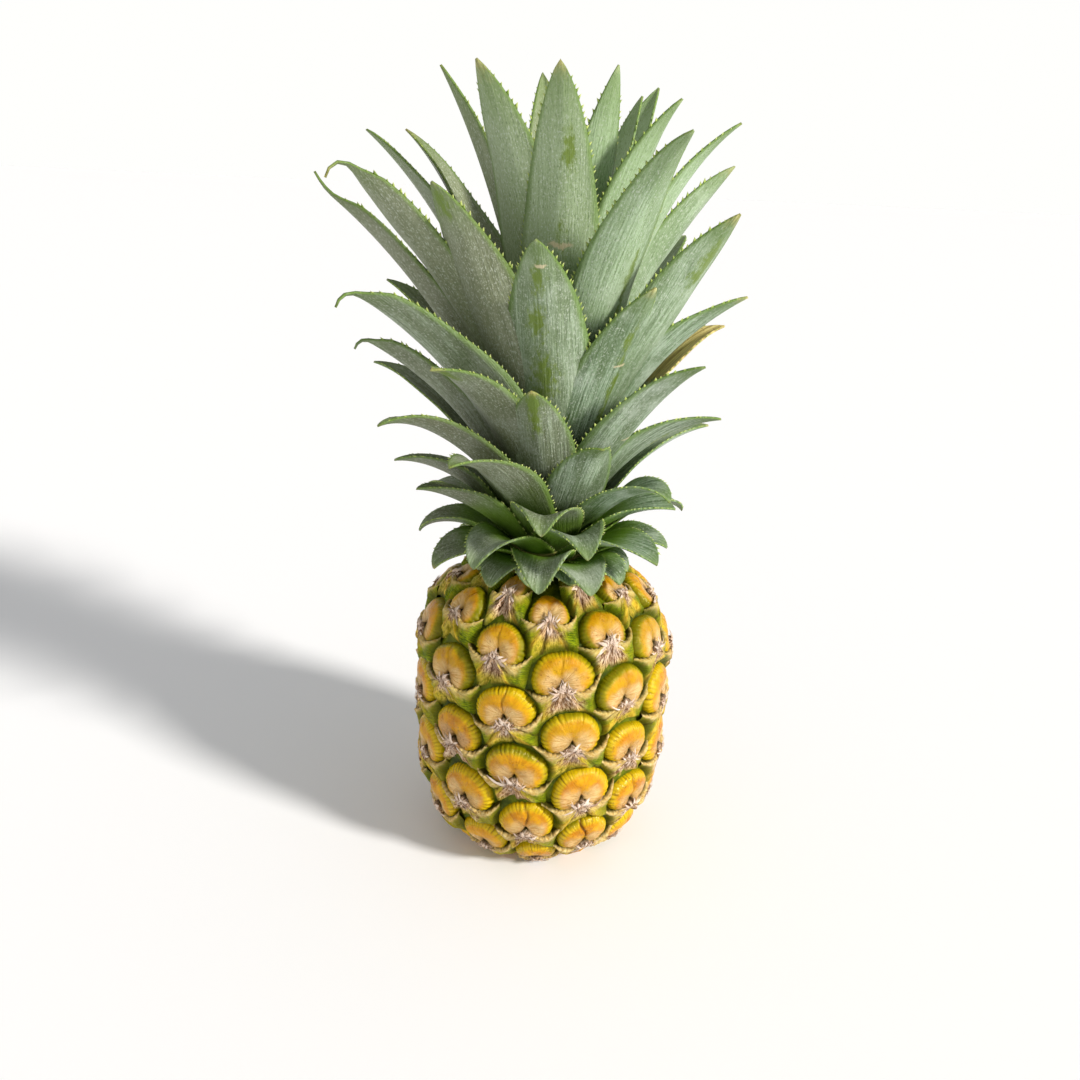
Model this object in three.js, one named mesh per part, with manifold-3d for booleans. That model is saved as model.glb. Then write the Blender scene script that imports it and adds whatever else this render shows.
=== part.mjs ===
// A pineapple standing on its own base, with its crown of toothed leaves.
// The eyes of the fruit and the leaves of the crown sit on two spirals, as they grow on the plant.
// Units are millimetres and degrees. +Z is up, and the origin is the middle of the face it stands on.
import * as THREE from "three";
import { mergeVertices } from "three/addons/utils/BufferGeometryUtils.js";
import Module from "manifold-3d";

const wasm = await Module();
wasm.setup();

// The barrel of the fruit, as one rounded profile that the base plane then cuts flat
const fruitRadius = 57.5;
const barrelLength = 144.7;
const barrelSquareness = 3.57; // how square the ends are along the length
const barrelRoundness = 2.26; // how the radius falls off towards the ends
const barrelTopHeavy = 0.028; // how much wider the top is than the bottom
const baseCut = 5.05; // what the flat base takes off the rounded end

// The spiral of eyes: 5 rows climb one way and 8 the other
const eyeDivergence = 138.02;
const eyeRise = 2.166; // along the surface, from one eye to the next
const eyeStartTurn = 8.58;
const eyeStartArc = 147.65; // along the surface from the lower pole
const rowShort = 5;
const rowLong = 8;
const rowSteps = 5; // facets along one side of an eye's field

// One eye: a domed shield of sepals over a winged bract, with a groove round both
const shieldHalfTurn = 14.6;
const shieldCentre = -2.2;
const shieldAbove = 14.2;
const shieldBelow = 9.4;
const shieldHeight = 4.3;
const shieldRim = [0.78, 1.12]; // shares of the shield's reach between which its rim falls
const shieldDish = 1.1;
const shieldDishReach = 0.75;
const bractHeight = 2.7;
const bractDrop = 12.2;
const bractLift = 0.34; // how far the wings rise for each millimetre out
const bractFade = [6, 18]; // degrees of turn between which the wings die out
const bractWidth = 3.6;
const grooveDepth = 3.6;
const reliefFade = [6, 20]; // barrel radii between which the relief grows from nothing
const poleRadius = 0.4;

// The crown: a short stem in a seat on the fruit, thick with the clasping roots of the leaves
const seatRadius = 17.6;
const seatHeight = 136.2;
const seatGap = 0.35;
const stemFlank = [[17, 139.6], [21, 141.6], [24, 150], [22, 162], [18, 178], [12, 196], [5, 212]];
const stemTop = 218;
const leafCount = 80;
const leafDivergence = 138.6;
const leafStartTurn = -1 - 45 * leafDivergence;
const rootDepth = 4;
const shoulderClearance = 3.4; // the lowest leaves lie this far above the barrel
const rollLimit = 1.15; // radians that half a leaf may curl round the crown's axis
const rollTightest = 4.5;
const spreadRadii = [20, 50]; // distances from the axis between which a leaf opens its channel
const channel = 0.2; // how far the edges of a spread leaf lift for each millimetre out
const leanEase = 1.6; // how late along the leaf its lean sets in
const hookEase = 9;
const bladeTaper = 0.85; // the blade's outline narrows with this power of what is left of it
const bladeRoot = 0.6;
const bladeSwell = 1.5;
const bladeWidest = 0.78; // the outline's own largest value
const toothStart = 0.2; // share of the leaf below its first tooth
const toothPitch = 22;
const toothSize = 1.25;
const toothLean = 0.7; // where the point stands between two valleys
const edgeThickness = 0.7;
const ribThicknessRoot = 1.6;
const ribThicknessTip = 0.8;
const ribStep = 24;
const stemSides = 12;

// How the leaves change from the lowest (0) to the heart of the crown, as [leaf, value]
const leafHeight = [[0, 140.5], [16, 142], [32, 150], [48, 161], [64, 175], [80, 188]];
const leafRadius = [[0, 18], [16, 18], [32, 16], [48, 12], [64, 7], [80, 3]];
const leafLength = [
  [0, 19], [12, 32], [20, 46], [27, 56], [34, 68], [40, 82], [48, 100], [56, 118], [64, 148],
  [72, 160], [80, 150],
];
const leafWidth = [
  [0, 18], [16, 26], [32, 30], [45, 31], [52, 35], [58, 42], [64, 34], [76, 32], [80, 26],
];
const leafLeanRoot = [[0, 82], [16, 62], [32, 42], [48, 28], [64, 15], [80, 4]];
const leafLeanTip = [
  [0, 140], [16, 126], [27, 106], [32, 88], [48, 70], [56, 64], [64, 46], [72, 28], [80, 15],
];

// How much the random draws change a leaf: shares of length and width, degrees of the others
const variety = { turn: 1, length: 0.04, width: 0.05, tip: 1.5, sweep: 0.02, twist: 6, hook: 9 };

// Leaves that grew differently from the rule: stretch of the length, and degrees of lean and turn
const leafHabit = {
  6: { stretch: 0.85, turn: -6 },
  16: { stretch: 1.1 },
  17: { tip: -30 },
  27: { stretch: 0.95, turn: -8, tip: -8 },
  29: { tip: -14 },
  30: { stretch: 0.8 },
  32: { stretch: 0.85 },
  35: { stretch: 0.85, tip: -14 },
  37: { stretch: 1.12, tip: -6 },
  40: { stretch: 0.7, tip: -44, turn: 3 },
  42: { stretch: 1.1 },
  43: { stretch: 0.92, tip: 8 },
  45: { stretch: 0.84, root: -6, tip: -34, turn: -11 },
  47: { stretch: 1.08 },
  48: { stretch: 0.96, tip: -20 },
  50: { stretch: 0.95, tip: -3, turn: -10 },
  53: { stretch: 1.02, root: -6, tip: -30, turn: 10 },
  55: { stretch: 1.12, tip: 4 },
  56: { stretch: 0.95, tip: -4 },
  58: { root: 1, tip: -24, turn: -10 },
  60: { stretch: 1.16, root: 2, tip: 2 },
  61: { stretch: 0.97, tip: -4 },
  63: { tip: -6, turn: -9 },
  66: { stretch: 1.06, root: 4, tip: 3, turn: -2 },
  68: { root: 8, tip: 22, turn: -8 },
  71: { stretch: 1.08, tip: 8, turn: -6 },
  76: { stretch: 1.05, root: 2, tip: 10, turn: -4 },
};

// The cut end of the stalk in the middle of the base, with a groove round it
const stalkRadius = 11.5;
const stalkGrooveRadius = 14.5;
const stalkGrooveDepth = 4;
const beyond = 20; // how far a cutting solid reaches past what it cuts

const rad = THREE.MathUtils.degToRad;
const clamp = THREE.MathUtils.clamp;
const smoothstep = THREE.MathUtils.smoothstep;

// A value between the points of a table of [position, value]
function fromTable(table, at) {
  const next = table.findIndex(([x]) => x >= at);
  if (next <= 0) return table[Math.max(next, 0)][1];
  const [x0, y0] = table[next - 1];
  const [x1, y1] = table[next];
  return y0 + ((y1 - y0) * (at - x0)) / (x1 - x0);
}

function withinHalfTurn(turn) {
  return turn - 360 * Math.round(turn / 360);
}

// A repeatable random draw from -1 to 1 for one leaf and one purpose
function draw(leaf, purpose) {
  const wave = Math.sin(leaf * 12.9898 + purpose * 78.233) * 43758.5453;
  return 2 * (wave - Math.floor(wave)) - 1;
}

function solidFrom(positions, triangles) {
  return new wasm.Manifold(
    new wasm.Mesh({
      numProp: 3,
      vertProperties: new Float32Array(positions),
      triVerts: new Uint32Array(triangles),
    }),
  );
}

function solidFromGeometry(geometry) {
  const bare = geometry.clone();
  bare.deleteAttribute("normal");
  bare.deleteAttribute("uv");
  const merged = mergeVertices(bare, 1e-4);
  return solidFrom(merged.attributes.position.array, merged.index.array);
}

function geometryFrom(solid) {
  const mesh = solid.getMesh();
  return new THREE.BufferGeometry()
    .setAttribute("position", new THREE.BufferAttribute(mesh.vertProperties, 3))
    .setIndex(new THREE.BufferAttribute(mesh.triVerts, 1));
}

function largestOf(solid) {
  return solid.decompose().sort((a, b) => b.volume() - a.volume())[0];
}

// A round solid that stands on height low and ends at height high
function upright(radius, low, high) {
  const sides = 36;
  return solidFromGeometry(
    new THREE.CylinderGeometry(radius, radius, high - low, sides)
      .rotateX(Math.PI / 2)
      .translate(0, 0, (low + high) / 2),
  );
}

// The barrel's profile as points with the arc length from the lower pole
const profile = (() => {
  const points = [];
  const steps = 800;
  for (let i = 0; i <= steps; i++) {
    const s = Math.sin(Math.PI * (i / steps - 0.5));
    const fall = Math.max(0, 1 - Math.abs(s) ** barrelSquareness) ** (1 / barrelRoundness);
    const r = fruitRadius * fall * (1 + barrelTopHeavy * s);
    const z = (s * barrelLength) / 2 + barrelLength / 2 - baseCut;
    const last = points[i - 1];
    const arc = last ? last.arc + Math.hypot(r - last.r, z - last.z) : 0;
    points.push({ r, z, arc });
  }
  return points;
})();
const wholeArc = profile.at(-1).arc;

// The barrel's radius, height and outward direction at an arc length
function barrelAt(arc) {
  const at = clamp(arc, 0.01, wholeArc - 0.01);
  const next = profile.findIndex((p) => p.arc >= at);
  const a = profile[next - 1];
  const b = profile[next];
  const t = (at - a.arc) / (b.arc - a.arc);
  const span = b.arc - a.arc;
  return {
    r: a.r + (b.r - a.r) * t,
    z: a.z + (b.z - a.z) * t,
    outR: (b.z - a.z) / span,
    outZ: -(b.r - a.r) / span,
  };
}

// The height of the barrel's upper half at a radius
function shoulderHeight(radius) {
  const upper = profile.slice(profile.length / 2);
  return (upper.find((p) => p.r <= radius) ?? upper.at(-1)).z;
}

// Height of the surface round one eye, at degrees of turn and millimetres up from its middle
function eyeRelief(turn, up) {
  const rise = up - shieldCentre;
  const reach = Math.hypot(turn / shieldHalfTurn, rise / (rise > 0 ? shieldAbove : shieldBelow));
  const rim = 1 - smoothstep(reach, ...shieldRim);
  const dish = shieldDish * (1 - smoothstep(reach, 0, shieldDishReach));
  const shield = (shieldHeight - dish) * rim;
  const out = Math.abs(turn);
  const ridge = (up + bractDrop - bractLift * out) / bractWidth;
  const bract = bractHeight * Math.exp(-ridge * ridge) * (1 - smoothstep(out, ...bractFade));
  return Math.max(shield, bract);
}

// The fruit's skin on a net whose lines follow the two sets of rows, one field of facets an eye
function fruitSkin() {
  const shortTurn = withinHalfTurn(rowShort * eyeDivergence);
  const longTurn = withinHalfTurn(rowLong * eyeDivergence);
  const first = Math.ceil(-eyeStartArc / eyeRise) + 1;
  const last = Math.floor((wholeArc - eyeStartArc) / eyeRise) - 1;
  const positions = [];
  const numbers = new Map();
  const pole = (z) => positions.push(0, 0, z) / 3 - 1;
  const lowPole = pole(profile[0].z);
  const highPole = pole(profile.at(-1).z);

  function place(n, p, q) {
    const turn = (p * shortTurn + q * longTurn) / rowSteps;
    const climbed = (p * rowShort + q * rowLong) / rowSteps;
    const own = [
      [0, 0], [rowShort, shortTurn], [rowLong, longTurn], [rowShort + rowLong, shortTurn + longTurn],
    ];
    const relief = Math.max(
      ...own.map(([eyes, eyeTurn]) => eyeRelief(turn - eyeTurn, (climbed - eyes) * eyeRise)),
    );
    const arc = eyeStartArc + (n + climbed) * eyeRise;
    const on = barrelAt(arc);
    const out = (relief - grooveDepth) * smoothstep(on.r, ...reliefFade);
    const angle = rad(eyeStartTurn + n * eyeDivergence + turn);
    const r = Math.max(poleRadius, on.r + on.outR * out);
    positions.push(r * Math.sin(angle), -r * Math.cos(angle), on.z + on.outZ * out);
    return positions.length / 3 - 1;
  }

  function vertex(n, p, q) {
    if (p === rowSteps) return vertex(n + rowShort, 0, q);
    if (q === rowSteps) return vertex(n + rowLong, p, 0);
    if (n < first) return lowPole;
    if (n > last) return highPole;
    const key = (n * rowSteps + p) * rowSteps + q;
    if (!numbers.has(key)) numbers.set(key, place(n, p, q));
    return numbers.get(key);
  }

  const triangles = [];
  const addTriangle = (a, b, c) => {
    if (a !== b && b !== c && c !== a) triangles.push(a, b, c);
  };
  for (let n = first - rowShort - rowLong; n <= last; n++)
    for (let p = 0; p < rowSteps; p++)
      for (let q = 0; q < rowSteps; q++) {
        const low = vertex(n, p, q);
        const left = vertex(n, p + 1, q);
        const right = vertex(n, p, q + 1);
        const high = vertex(n, p + 1, q + 1);
        addTriangle(low, right, high);
        addTriangle(low, high, left);
      }
  return solidFrom(positions, triangles);
}

function fruitSolid() {
  const underground = upright(fruitRadius + beyond, -beyond, 0);
  const seat = upright(seatRadius, seatHeight, seatHeight + beyond);
  const stalk = upright(stalkRadius, -beyond, beyond);
  const groove = upright(stalkGrooveRadius, -beyond, stalkGrooveDepth).subtract(stalk);
  return largestOf(fruitSkin().subtract(underground).subtract(seat).subtract(groove));
}

// The growth of one leaf, from the rule, its habit and its random draws
function leafGrowth(leaf) {
  const habit = { stretch: 1, root: 0, tip: 0, turn: 0, ...leafHabit[leaf] };
  return {
    turn: rad(leafStartTurn + leaf * leafDivergence + habit.turn + variety.turn * draw(leaf, 1)),
    length: fromTable(leafLength, leaf) * habit.stretch * (1 + variety.length * draw(leaf, 2)),
    width: fromTable(leafWidth, leaf) * (1 + variety.width * draw(leaf, 3)),
    leanRoot: fromTable(leafLeanRoot, leaf) + habit.root,
    leanTip: fromTable(leafLeanTip, leaf) + habit.tip + variety.tip * draw(leaf, 4),
    sweep: variety.sweep * draw(leaf, 5),
    twist: variety.twist * draw(leaf, 6),
    hook: variety.hook * (1 + draw(leaf, 7)),
    radius: fromTable(leafRadius, leaf),
    height: fromTable(leafHeight, leaf),
  };
}

// Half the blade's width when it is laid flat, at a share of its length
function bladeHalf(width, u) {
  return ((width / 2) * (1 - u) ** bladeTaper * (bladeRoot + bladeSwell * u)) / bladeWidest;
}

// How far out and how far up the edge of a leaf lies when it curls round the crown's axis
function curl(radius, lean, half) {
  const flattest = 0.02;
  const bend = Math.max(Math.cos(lean), flattest) / Math.max(radius, rollTightest);
  const turn = Math.min(half * bend, rollLimit);
  const spread = smoothstep(radius, ...spreadRadii);
  return {
    lateral: Math.sin(turn) / bend,
    lift: (1 - Math.cos(turn)) / bend + channel * half * spread,
  };
}

// Places along one leaf: the rib's point, the way to its right edge and the way its upper face looks
function leafStations(growth, count) {
  const outward = new THREE.Vector3(Math.sin(growth.turn), -Math.cos(growth.turn), 0);
  const sideways = new THREE.Vector3(Math.cos(growth.turn), Math.sin(growth.turn), 0);
  const upward = new THREE.Vector3(0, 0, 1);
  const fine = 8;
  const step = growth.length / (count * fine);
  const bow = growth.leanTip - growth.leanRoot;
  const lean = (u) => growth.leanRoot + bow * u ** leanEase + growth.hook * u ** hookEase;
  const start = rad(lean(0));
  let r = growth.radius - rootDepth * Math.sin(start);
  let z = growth.height - rootDepth * Math.cos(start);
  const stations = [];
  for (let i = 0; i <= count * fine; i++) {
    const u = i / (count * fine);
    const tilt = rad(lean(u));
    if (i % fine === 0) {
      const twist = rad(growth.twist * u * u);
      const up = outward
        .clone()
        .multiplyScalar(-Math.cos(tilt))
        .addScaledVector(upward, Math.sin(tilt));
      stations.push({
        rib: outward
          .clone()
          .multiplyScalar(r)
          .addScaledVector(upward, z)
          .addScaledVector(sideways, growth.sweep * growth.length * u * u),
        right: sideways.clone().multiplyScalar(Math.cos(twist)).addScaledVector(up, Math.sin(twist)),
        up: up.clone().multiplyScalar(Math.cos(twist)).addScaledVector(sideways, -Math.sin(twist)),
        ...curl(r, tilt, bladeHalf(growth.width, u)),
      });
    }
    r += Math.sin(tilt) * step;
    z += Math.cos(tilt) * step;
    if (r > seatRadius) z = Math.max(z, shoulderHeight(r) + shoulderClearance);
  }
  return stations;
}

// The same places at any share of the leaf's length
function between(stations, share) {
  const place = clamp(share, 0, 1) * (stations.length - 1);
  const i = Math.min(stations.length - 2, Math.floor(place));
  const t = place - i;
  const a = stations[i];
  const b = stations[i + 1];
  return {
    rib: a.rib.clone().lerp(b.rib, t),
    right: a.right.clone().lerp(b.right, t).normalize(),
    up: a.up.clone().lerp(b.up, t).normalize(),
    lateral: a.lateral + (b.lateral - a.lateral) * t,
    lift: a.lift + (b.lift - a.lift) * t,
  };
}

// The blade's rib, as pairs of points on its upper and lower face
function leafRib(stations, ribs, add, tip) {
  const line = [];
  for (let i = 0; i < ribs; i++) {
    const share = i / ribs;
    const s = between(stations, share);
    const thick = ribThicknessRoot + (ribThicknessTip - ribThicknessRoot) * share;
    line.push({
      share,
      top: add(s.rib.clone().addScaledVector(s.up, thick / 2)),
      bottom: add(s.rib.clone().addScaledVector(s.up, -thick / 2)),
    });
  }
  return [...line, { share: 1, top: tip, bottom: tip }];
}

// One edge of the blade: a pair of points in each valley and a single point on each tooth
function leafEdge(stations, side, teeth, add, tip) {
  const point = (share, extra, lift) => {
    const s = between(stations, share);
    return add(
      s.rib
        .addScaledVector(s.right, side * (s.lateral + extra))
        .addScaledVector(s.up, s.lift + lift),
    );
  };
  const shareAt = (tooth) => toothStart + ((1 - toothStart) * tooth) / teeth;
  const line = [];
  for (let i = 0; i < teeth; i++) {
    const valley = i === 0 ? 0 : shareAt(i);
    line.push({
      share: valley,
      top: point(valley, 0, edgeThickness / 2),
      bottom: point(valley, 0, -edgeThickness / 2),
    });
    const tooth = shareAt(i + toothLean);
    const spike = point(tooth, toothSize, 0);
    line.push({ share: tooth, top: spike, bottom: spike });
  }
  return [...line, { share: 1, top: tip, bottom: tip }];
}

// One leaf as a solid blade, channelled along its rib, with teeth along both edges
function leafSolid(leaf) {
  const growth = leafGrowth(leaf);
  const fewest = 3;
  const teeth = Math.max(fewest, Math.round(growth.length / toothPitch));
  const ribs = Math.max(fewest, Math.round(growth.length / ribStep));
  const stations = leafStations(growth, teeth * ribs);
  const positions = [];
  const add = (v) => positions.push(v.x, v.y, v.z) / 3 - 1;
  const tip = add(stations.at(-1).rib);
  const rib = leafRib(stations, ribs, add, tip);

  const triangles = [];
  for (const side of [-1, 1]) {
    const edge = leafEdge(stations, side, teeth, add, tip);
    const face = (turned, a, b, c) => {
      if (a !== b && b !== c && c !== a) triangles.push(...(turned ? [a, c, b] : [a, b, c]));
    };
    const right = side > 0;
    // The blade's two faces, zipped from rib to edge alike
    let i = 0;
    let j = 0;
    while (i < rib.length - 1 || j < edge.length - 1) {
      const alongEdge =
        j < edge.length - 1 && (i === rib.length - 1 || edge[j + 1].share <= rib[i + 1].share);
      const corner = alongEdge ? edge[j + 1] : rib[i + 1];
      face(right, rib[i].top, edge[j].top, corner.top);
      face(!right, rib[i].bottom, edge[j].bottom, corner.bottom);
      if (alongEdge) j++;
      else i++;
    }
    // The thin wall along the edge
    for (let k = 0; k < edge.length - 1; k++) {
      face(right, edge[k].top, edge[k].bottom, edge[k + 1].bottom);
      face(right, edge[k].top, edge[k + 1].bottom, edge[k + 1].top);
    }
    // The root's end, inside the stem
    face(right, rib[0].bottom, edge[0].bottom, edge[0].top);
    face(right, rib[0].bottom, edge[0].top, rib[0].top);
  }
  return solidFrom(positions, triangles);
}

function crownSolid() {
  const outline = [
    [0, seatHeight + seatGap],
    [seatRadius - 2 * seatGap, seatHeight + seatGap],
    ...stemFlank,
    [0, stemTop],
  ].map(([r, z]) => new THREE.Vector2(r, z));
  const stem = solidFromGeometry(new THREE.LatheGeometry(outline, stemSides).rotateX(Math.PI / 2));
  const leaves = Array.from({ length: leafCount }, (_, leaf) => leafSolid(leaf));
  return largestOf(wasm.Manifold.union([stem, ...leaves]));
}

function named(name, solid, color, roughness) {
  const material = new THREE.MeshStandardMaterial({ color, roughness, metalness: 0 });
  const mesh = new THREE.Mesh(geometryFrom(solid), material);
  mesh.name = name;
  return mesh;
}

const pineapple = new THREE.Group();
pineapple.add(
  named("fruit", fruitSolid(), 0xc08a24, 0.5),
  named("crown", crownSolid(), 0x7d927b, 0.65),
);

export default pineapple;
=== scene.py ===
# %% [markdown]
# # A pineapple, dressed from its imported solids
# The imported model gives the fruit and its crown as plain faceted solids. This lesson builds the visible
# surface over them: the rind with its eyes, the winged bracts with their dry fibres, and the toothed leaves.
# Everything is placed by the two spirals that the plant grows on, so each piece is modelled once as a
# master, and copies of it are laid along a spiral and bent to their place.

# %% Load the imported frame
import math

import bpy
import numpy as np
from mathutils import Matrix, Vector


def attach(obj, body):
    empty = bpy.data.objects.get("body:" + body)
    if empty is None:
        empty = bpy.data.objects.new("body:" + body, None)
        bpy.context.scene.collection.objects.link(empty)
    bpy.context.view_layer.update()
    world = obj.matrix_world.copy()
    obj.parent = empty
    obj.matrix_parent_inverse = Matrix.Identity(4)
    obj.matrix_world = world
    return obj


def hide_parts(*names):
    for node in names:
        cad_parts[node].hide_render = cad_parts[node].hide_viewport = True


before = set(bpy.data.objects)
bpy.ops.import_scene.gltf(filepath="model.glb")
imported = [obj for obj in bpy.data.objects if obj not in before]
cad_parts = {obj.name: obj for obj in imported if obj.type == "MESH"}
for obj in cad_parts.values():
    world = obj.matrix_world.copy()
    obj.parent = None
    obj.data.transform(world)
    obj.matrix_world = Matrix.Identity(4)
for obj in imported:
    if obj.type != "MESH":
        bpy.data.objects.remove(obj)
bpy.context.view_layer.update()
MM = 0.001

# %% [markdown]
# ## Small helpers
# Operators act on whatever is selected, so each step first selects exactly what it means. A master is made
# by hand with operators, and then a numpy array holds where each of its vertices goes in each copy. Laying
# hundreds of copies that way takes a moment, where hundreds of separate operator calls would take minutes.

# %% Select one object, and step in and out of edit mode
def only(piece):
    bpy.ops.object.select_all(action="DESELECT")
    piece.select_set(True)
    bpy.context.view_layer.objects.active = piece


def edit(piece):
    only(piece)
    bpy.ops.object.mode_set(mode="EDIT")
    bpy.ops.mesh.select_all(action="SELECT")


def leave_edit():
    bpy.ops.object.mode_set(mode="OBJECT")


# %% Inset a disc into rings, and cut a tall piece into lengths
def inset_rings(piece, widths):
    """Insets a flat disc ring by ring, closes its middle with a fan, and stays in edit mode."""
    edit(piece)
    for width in widths:
        bpy.ops.mesh.inset(thickness=width)
    bpy.ops.mesh.poke()


def cut_to_lengths(piece, count):
    """Cuts a piece that stands from 0 to 1 into equal lengths."""
    edit(piece)
    for cut in range(1, count):
        bpy.ops.mesh.select_all(action="SELECT")
        bpy.ops.mesh.bisect(plane_co=(0, 0, cut / count), plane_no=(0, 0, 1))
    leave_edit()


# %% Name a new piece, and take one away
def named(name):
    piece = bpy.context.object
    piece.name = name
    piece.data.name = name
    return piece


def drop(piece):
    bpy.data.objects.remove(piece, do_unlink=True)


# %% Read a master, and lay moved copies of it into one new mesh
def points_of(piece):
    flat = np.empty(len(piece.data.vertices) * 3)
    piece.data.vertices.foreach_get("co", flat)
    return flat.reshape(-1, 3)


def lay_copies(name, master, places, marks):
    """places: a (points, 3) array for each copy. marks: its named values, one number or one a point."""
    faces = [tuple(face.vertices) for face in master.data.polygons]
    size = len(master.data.vertices)
    all_faces = [tuple(v + size * i for v in face) for i in range(len(places)) for face in faces]
    mesh = bpy.data.meshes.new(name)
    mesh.from_pydata(np.concatenate(places).tolist(), [], all_faces)
    for label in marks[0]:
        values = np.array([np.broadcast_to(mark[label], size) for mark in marks], dtype=float)
        mesh.attributes.new(label, "FLOAT", "POINT").data.foreach_set("value", values.ravel())
    piece = bpy.data.objects.new(name, mesh)
    bpy.context.scene.collection.objects.link(piece)
    only(piece)
    bpy.ops.object.shade_smooth()
    print(name, len(places), "copies,", sum(len(f) - 2 for f in faces) * len(places), "triangles")
    return piece


# %% Ease between two values, and look a value up in a short table
def ease(value, start, end):
    t = np.clip((value - start) / (end - start), 0, 1)
    return t * t * (3 - 2 * t)


def from_table(table, at):
    places, values = zip(*table)
    return np.interp(at, places, values)


# %% [markdown]
# ## The camera
# The photograph looks down on the fruit from the front, from about half a metre away, and the camera is
# tilted a little to the side. The outline and the eyes of the fruit fix its place and its lens.

# %% Place the camera
EYE_LEVEL = 67.3 * MM
CAMERA_DISTANCE = 490.1 * MM
CAMERA_RISE = math.radians(30.06)
CAMERA_PAN = math.radians(-0.53)
CAMERA_PITCH = math.radians(21.52)
CAMERA_ROLL = math.radians(2.65)
SENSOR = 36
FOCAL_SHARE = 1030 / 1080

ahead = Vector(
    (
        math.sin(CAMERA_PAN) * math.cos(CAMERA_PITCH),
        math.cos(CAMERA_PAN) * math.cos(CAMERA_PITCH),
        -math.sin(CAMERA_PITCH),
    )
)
level = ahead.cross(Vector((0, 0, 1))).normalized()
upright = level.cross(ahead)
right = level * math.cos(CAMERA_ROLL) + upright * math.sin(CAMERA_ROLL)
up = upright * math.cos(CAMERA_ROLL) - level * math.sin(CAMERA_ROLL)

bpy.ops.object.camera_add()
camera = bpy.context.object
camera.name = "camera"
camera.data.sensor_width = SENSOR
camera.data.lens = FOCAL_SHARE * SENSOR
camera.matrix_world = Matrix((right, up, -ahead)).transposed().to_4x4()
camera.location = (
    0,
    -CAMERA_DISTANCE * math.cos(CAMERA_RISE),
    CAMERA_DISTANCE * math.sin(CAMERA_RISE) + EYE_LEVEL,
)
bpy.context.scene.camera = camera
bpy.context.scene.view_settings.view_transform = "Standard"
print("camera at", [round(v, 3) for v in camera.location], "lens", round(camera.data.lens, 2))

# %% [markdown]
# ## The barrel
# A pineapple is many small fruits grown together, so its eyes lie on a smooth barrel. Every piece of the
# rind is drawn flat first, in degrees of turn round the fruit and millimetres of climb along its side, and
# then laid on the barrel. The barrel could be a scaled sphere, but its ends are squarer than a sphere's.

# %% The barrel's profile
FRUIT_RADIUS = 57.5 * MM
BARREL_LENGTH = 144.7 * MM
BARREL_SQUARENESS = 3.57
BARREL_ROUNDNESS = 2.26
BARREL_TOP_HEAVY = 0.028
BASE_CUT = 5.05 * MM
GROOVE_DEPTH = 3.6 * MM

along = np.sin(np.radians(np.linspace(-90, 90, 1201)))
fall = np.maximum(0, 1 - np.abs(along) ** BARREL_SQUARENESS) ** (1 / BARREL_ROUNDNESS)
profile_r = FRUIT_RADIUS * fall * (1 + BARREL_TOP_HEAVY * along)
profile_z = (along + 1) * BARREL_LENGTH / 2 - BASE_CUT
steps = np.hypot(np.diff(profile_r), np.diff(profile_z))
profile_arc = np.concatenate([[0], np.cumsum(steps)])
profile_out_r = np.gradient(profile_z, profile_arc)
profile_out_z = -np.gradient(profile_r, profile_arc)
WHOLE_ARC = profile_arc[-1]
print("from pole to pole along the side:", round(WHOLE_ARC * 1000, 1), "mm")


# %% Lay a flat drawing on the barrel
def on_barrel(turn, arc, height):
    """turn in radians from the front, arc and height in metres; gives (points, 3)."""
    r = np.interp(arc, profile_arc, profile_r)
    z = np.interp(arc, profile_arc, profile_z)
    out_r = np.interp(arc, profile_arc, profile_out_r)
    out_z = np.interp(arc, profile_arc, profile_out_z)
    r = np.maximum(r + out_r * height, 0)
    return np.stack([r * np.sin(turn), -r * np.cos(turn), z + out_z * height], axis=-1)


# %% [markdown]
# ## Where the eyes stand
# The eyes climb one single spiral: each is 138 degrees further round and 2.2 mm higher than the one before.
# The rows that people count on a pineapple, five one way and eight the other, come out of that by themselves.
# Each eye also gets its own size, tilt and ripeness, because no two on a real fruit are alike.

# %% The spiral of eyes, and what makes each eye its own
EYE_DIVERGENCE = 138.02
EYE_RISE = 2.166 * MM
EYE_START_TURN = 8.58
EYE_START_ARC = 147.65 * MM
LOWEST_EYE_ARC = 21 * MM
HIGHEST_EYE_ARC = 203 * MM

numbers = np.arange(-70, 40)
eye_arcs = EYE_START_ARC + numbers * EYE_RISE
numbers = numbers[(eye_arcs > LOWEST_EYE_ARC) & (eye_arcs < HIGHEST_EYE_ARC)]
chance = np.random.default_rng(11)


def make_eye(number):
    arc = EYE_START_ARC + number * EYE_RISE
    climb = (arc - LOWEST_EYE_ARC) / (HIGHEST_EYE_ARC - LOWEST_EYE_ARC)
    return {
        "turn": math.radians(EYE_START_TURN + number * EYE_DIVERGENCE),
        "arc": arc,
        "climb": climb,
        "number": number,
        "size": 1 + chance.normal(0, 0.025) - 0.1 * max(0, climb - 0.72) / 0.28,
        "roll": math.radians(chance.normal(0, 4)),
        "tilt": chance.normal(0, 0.35) * MM,
        "lean": chance.normal(0, 0.35) * MM,
        "crease": max(0, chance.normal(0.05, 0.55)) * MM,
        "crease_turn": chance.normal(0, 0.2),
        "lobes": chance.normal(0, 0.035),
        "phase": chance.uniform(0, 6.28),
        "scallops": int(chance.integers(34, 42)),
        "tone": chance.uniform(0, 1),
        "green": float(np.clip(0.12 + 0.75 * climb**1.6 + chance.normal(0, 0.17), 0, 1)),
        "dry": float(np.clip(chance.normal(0.5, 0.22), 0, 1)),
        "tuft": chance.uniform(0.75, 1.25) * (1 + 0.5 * max(0, climb - 0.6)),
        "wings": chance.normal(0, 0.6, 4) * MM,
    }


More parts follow.
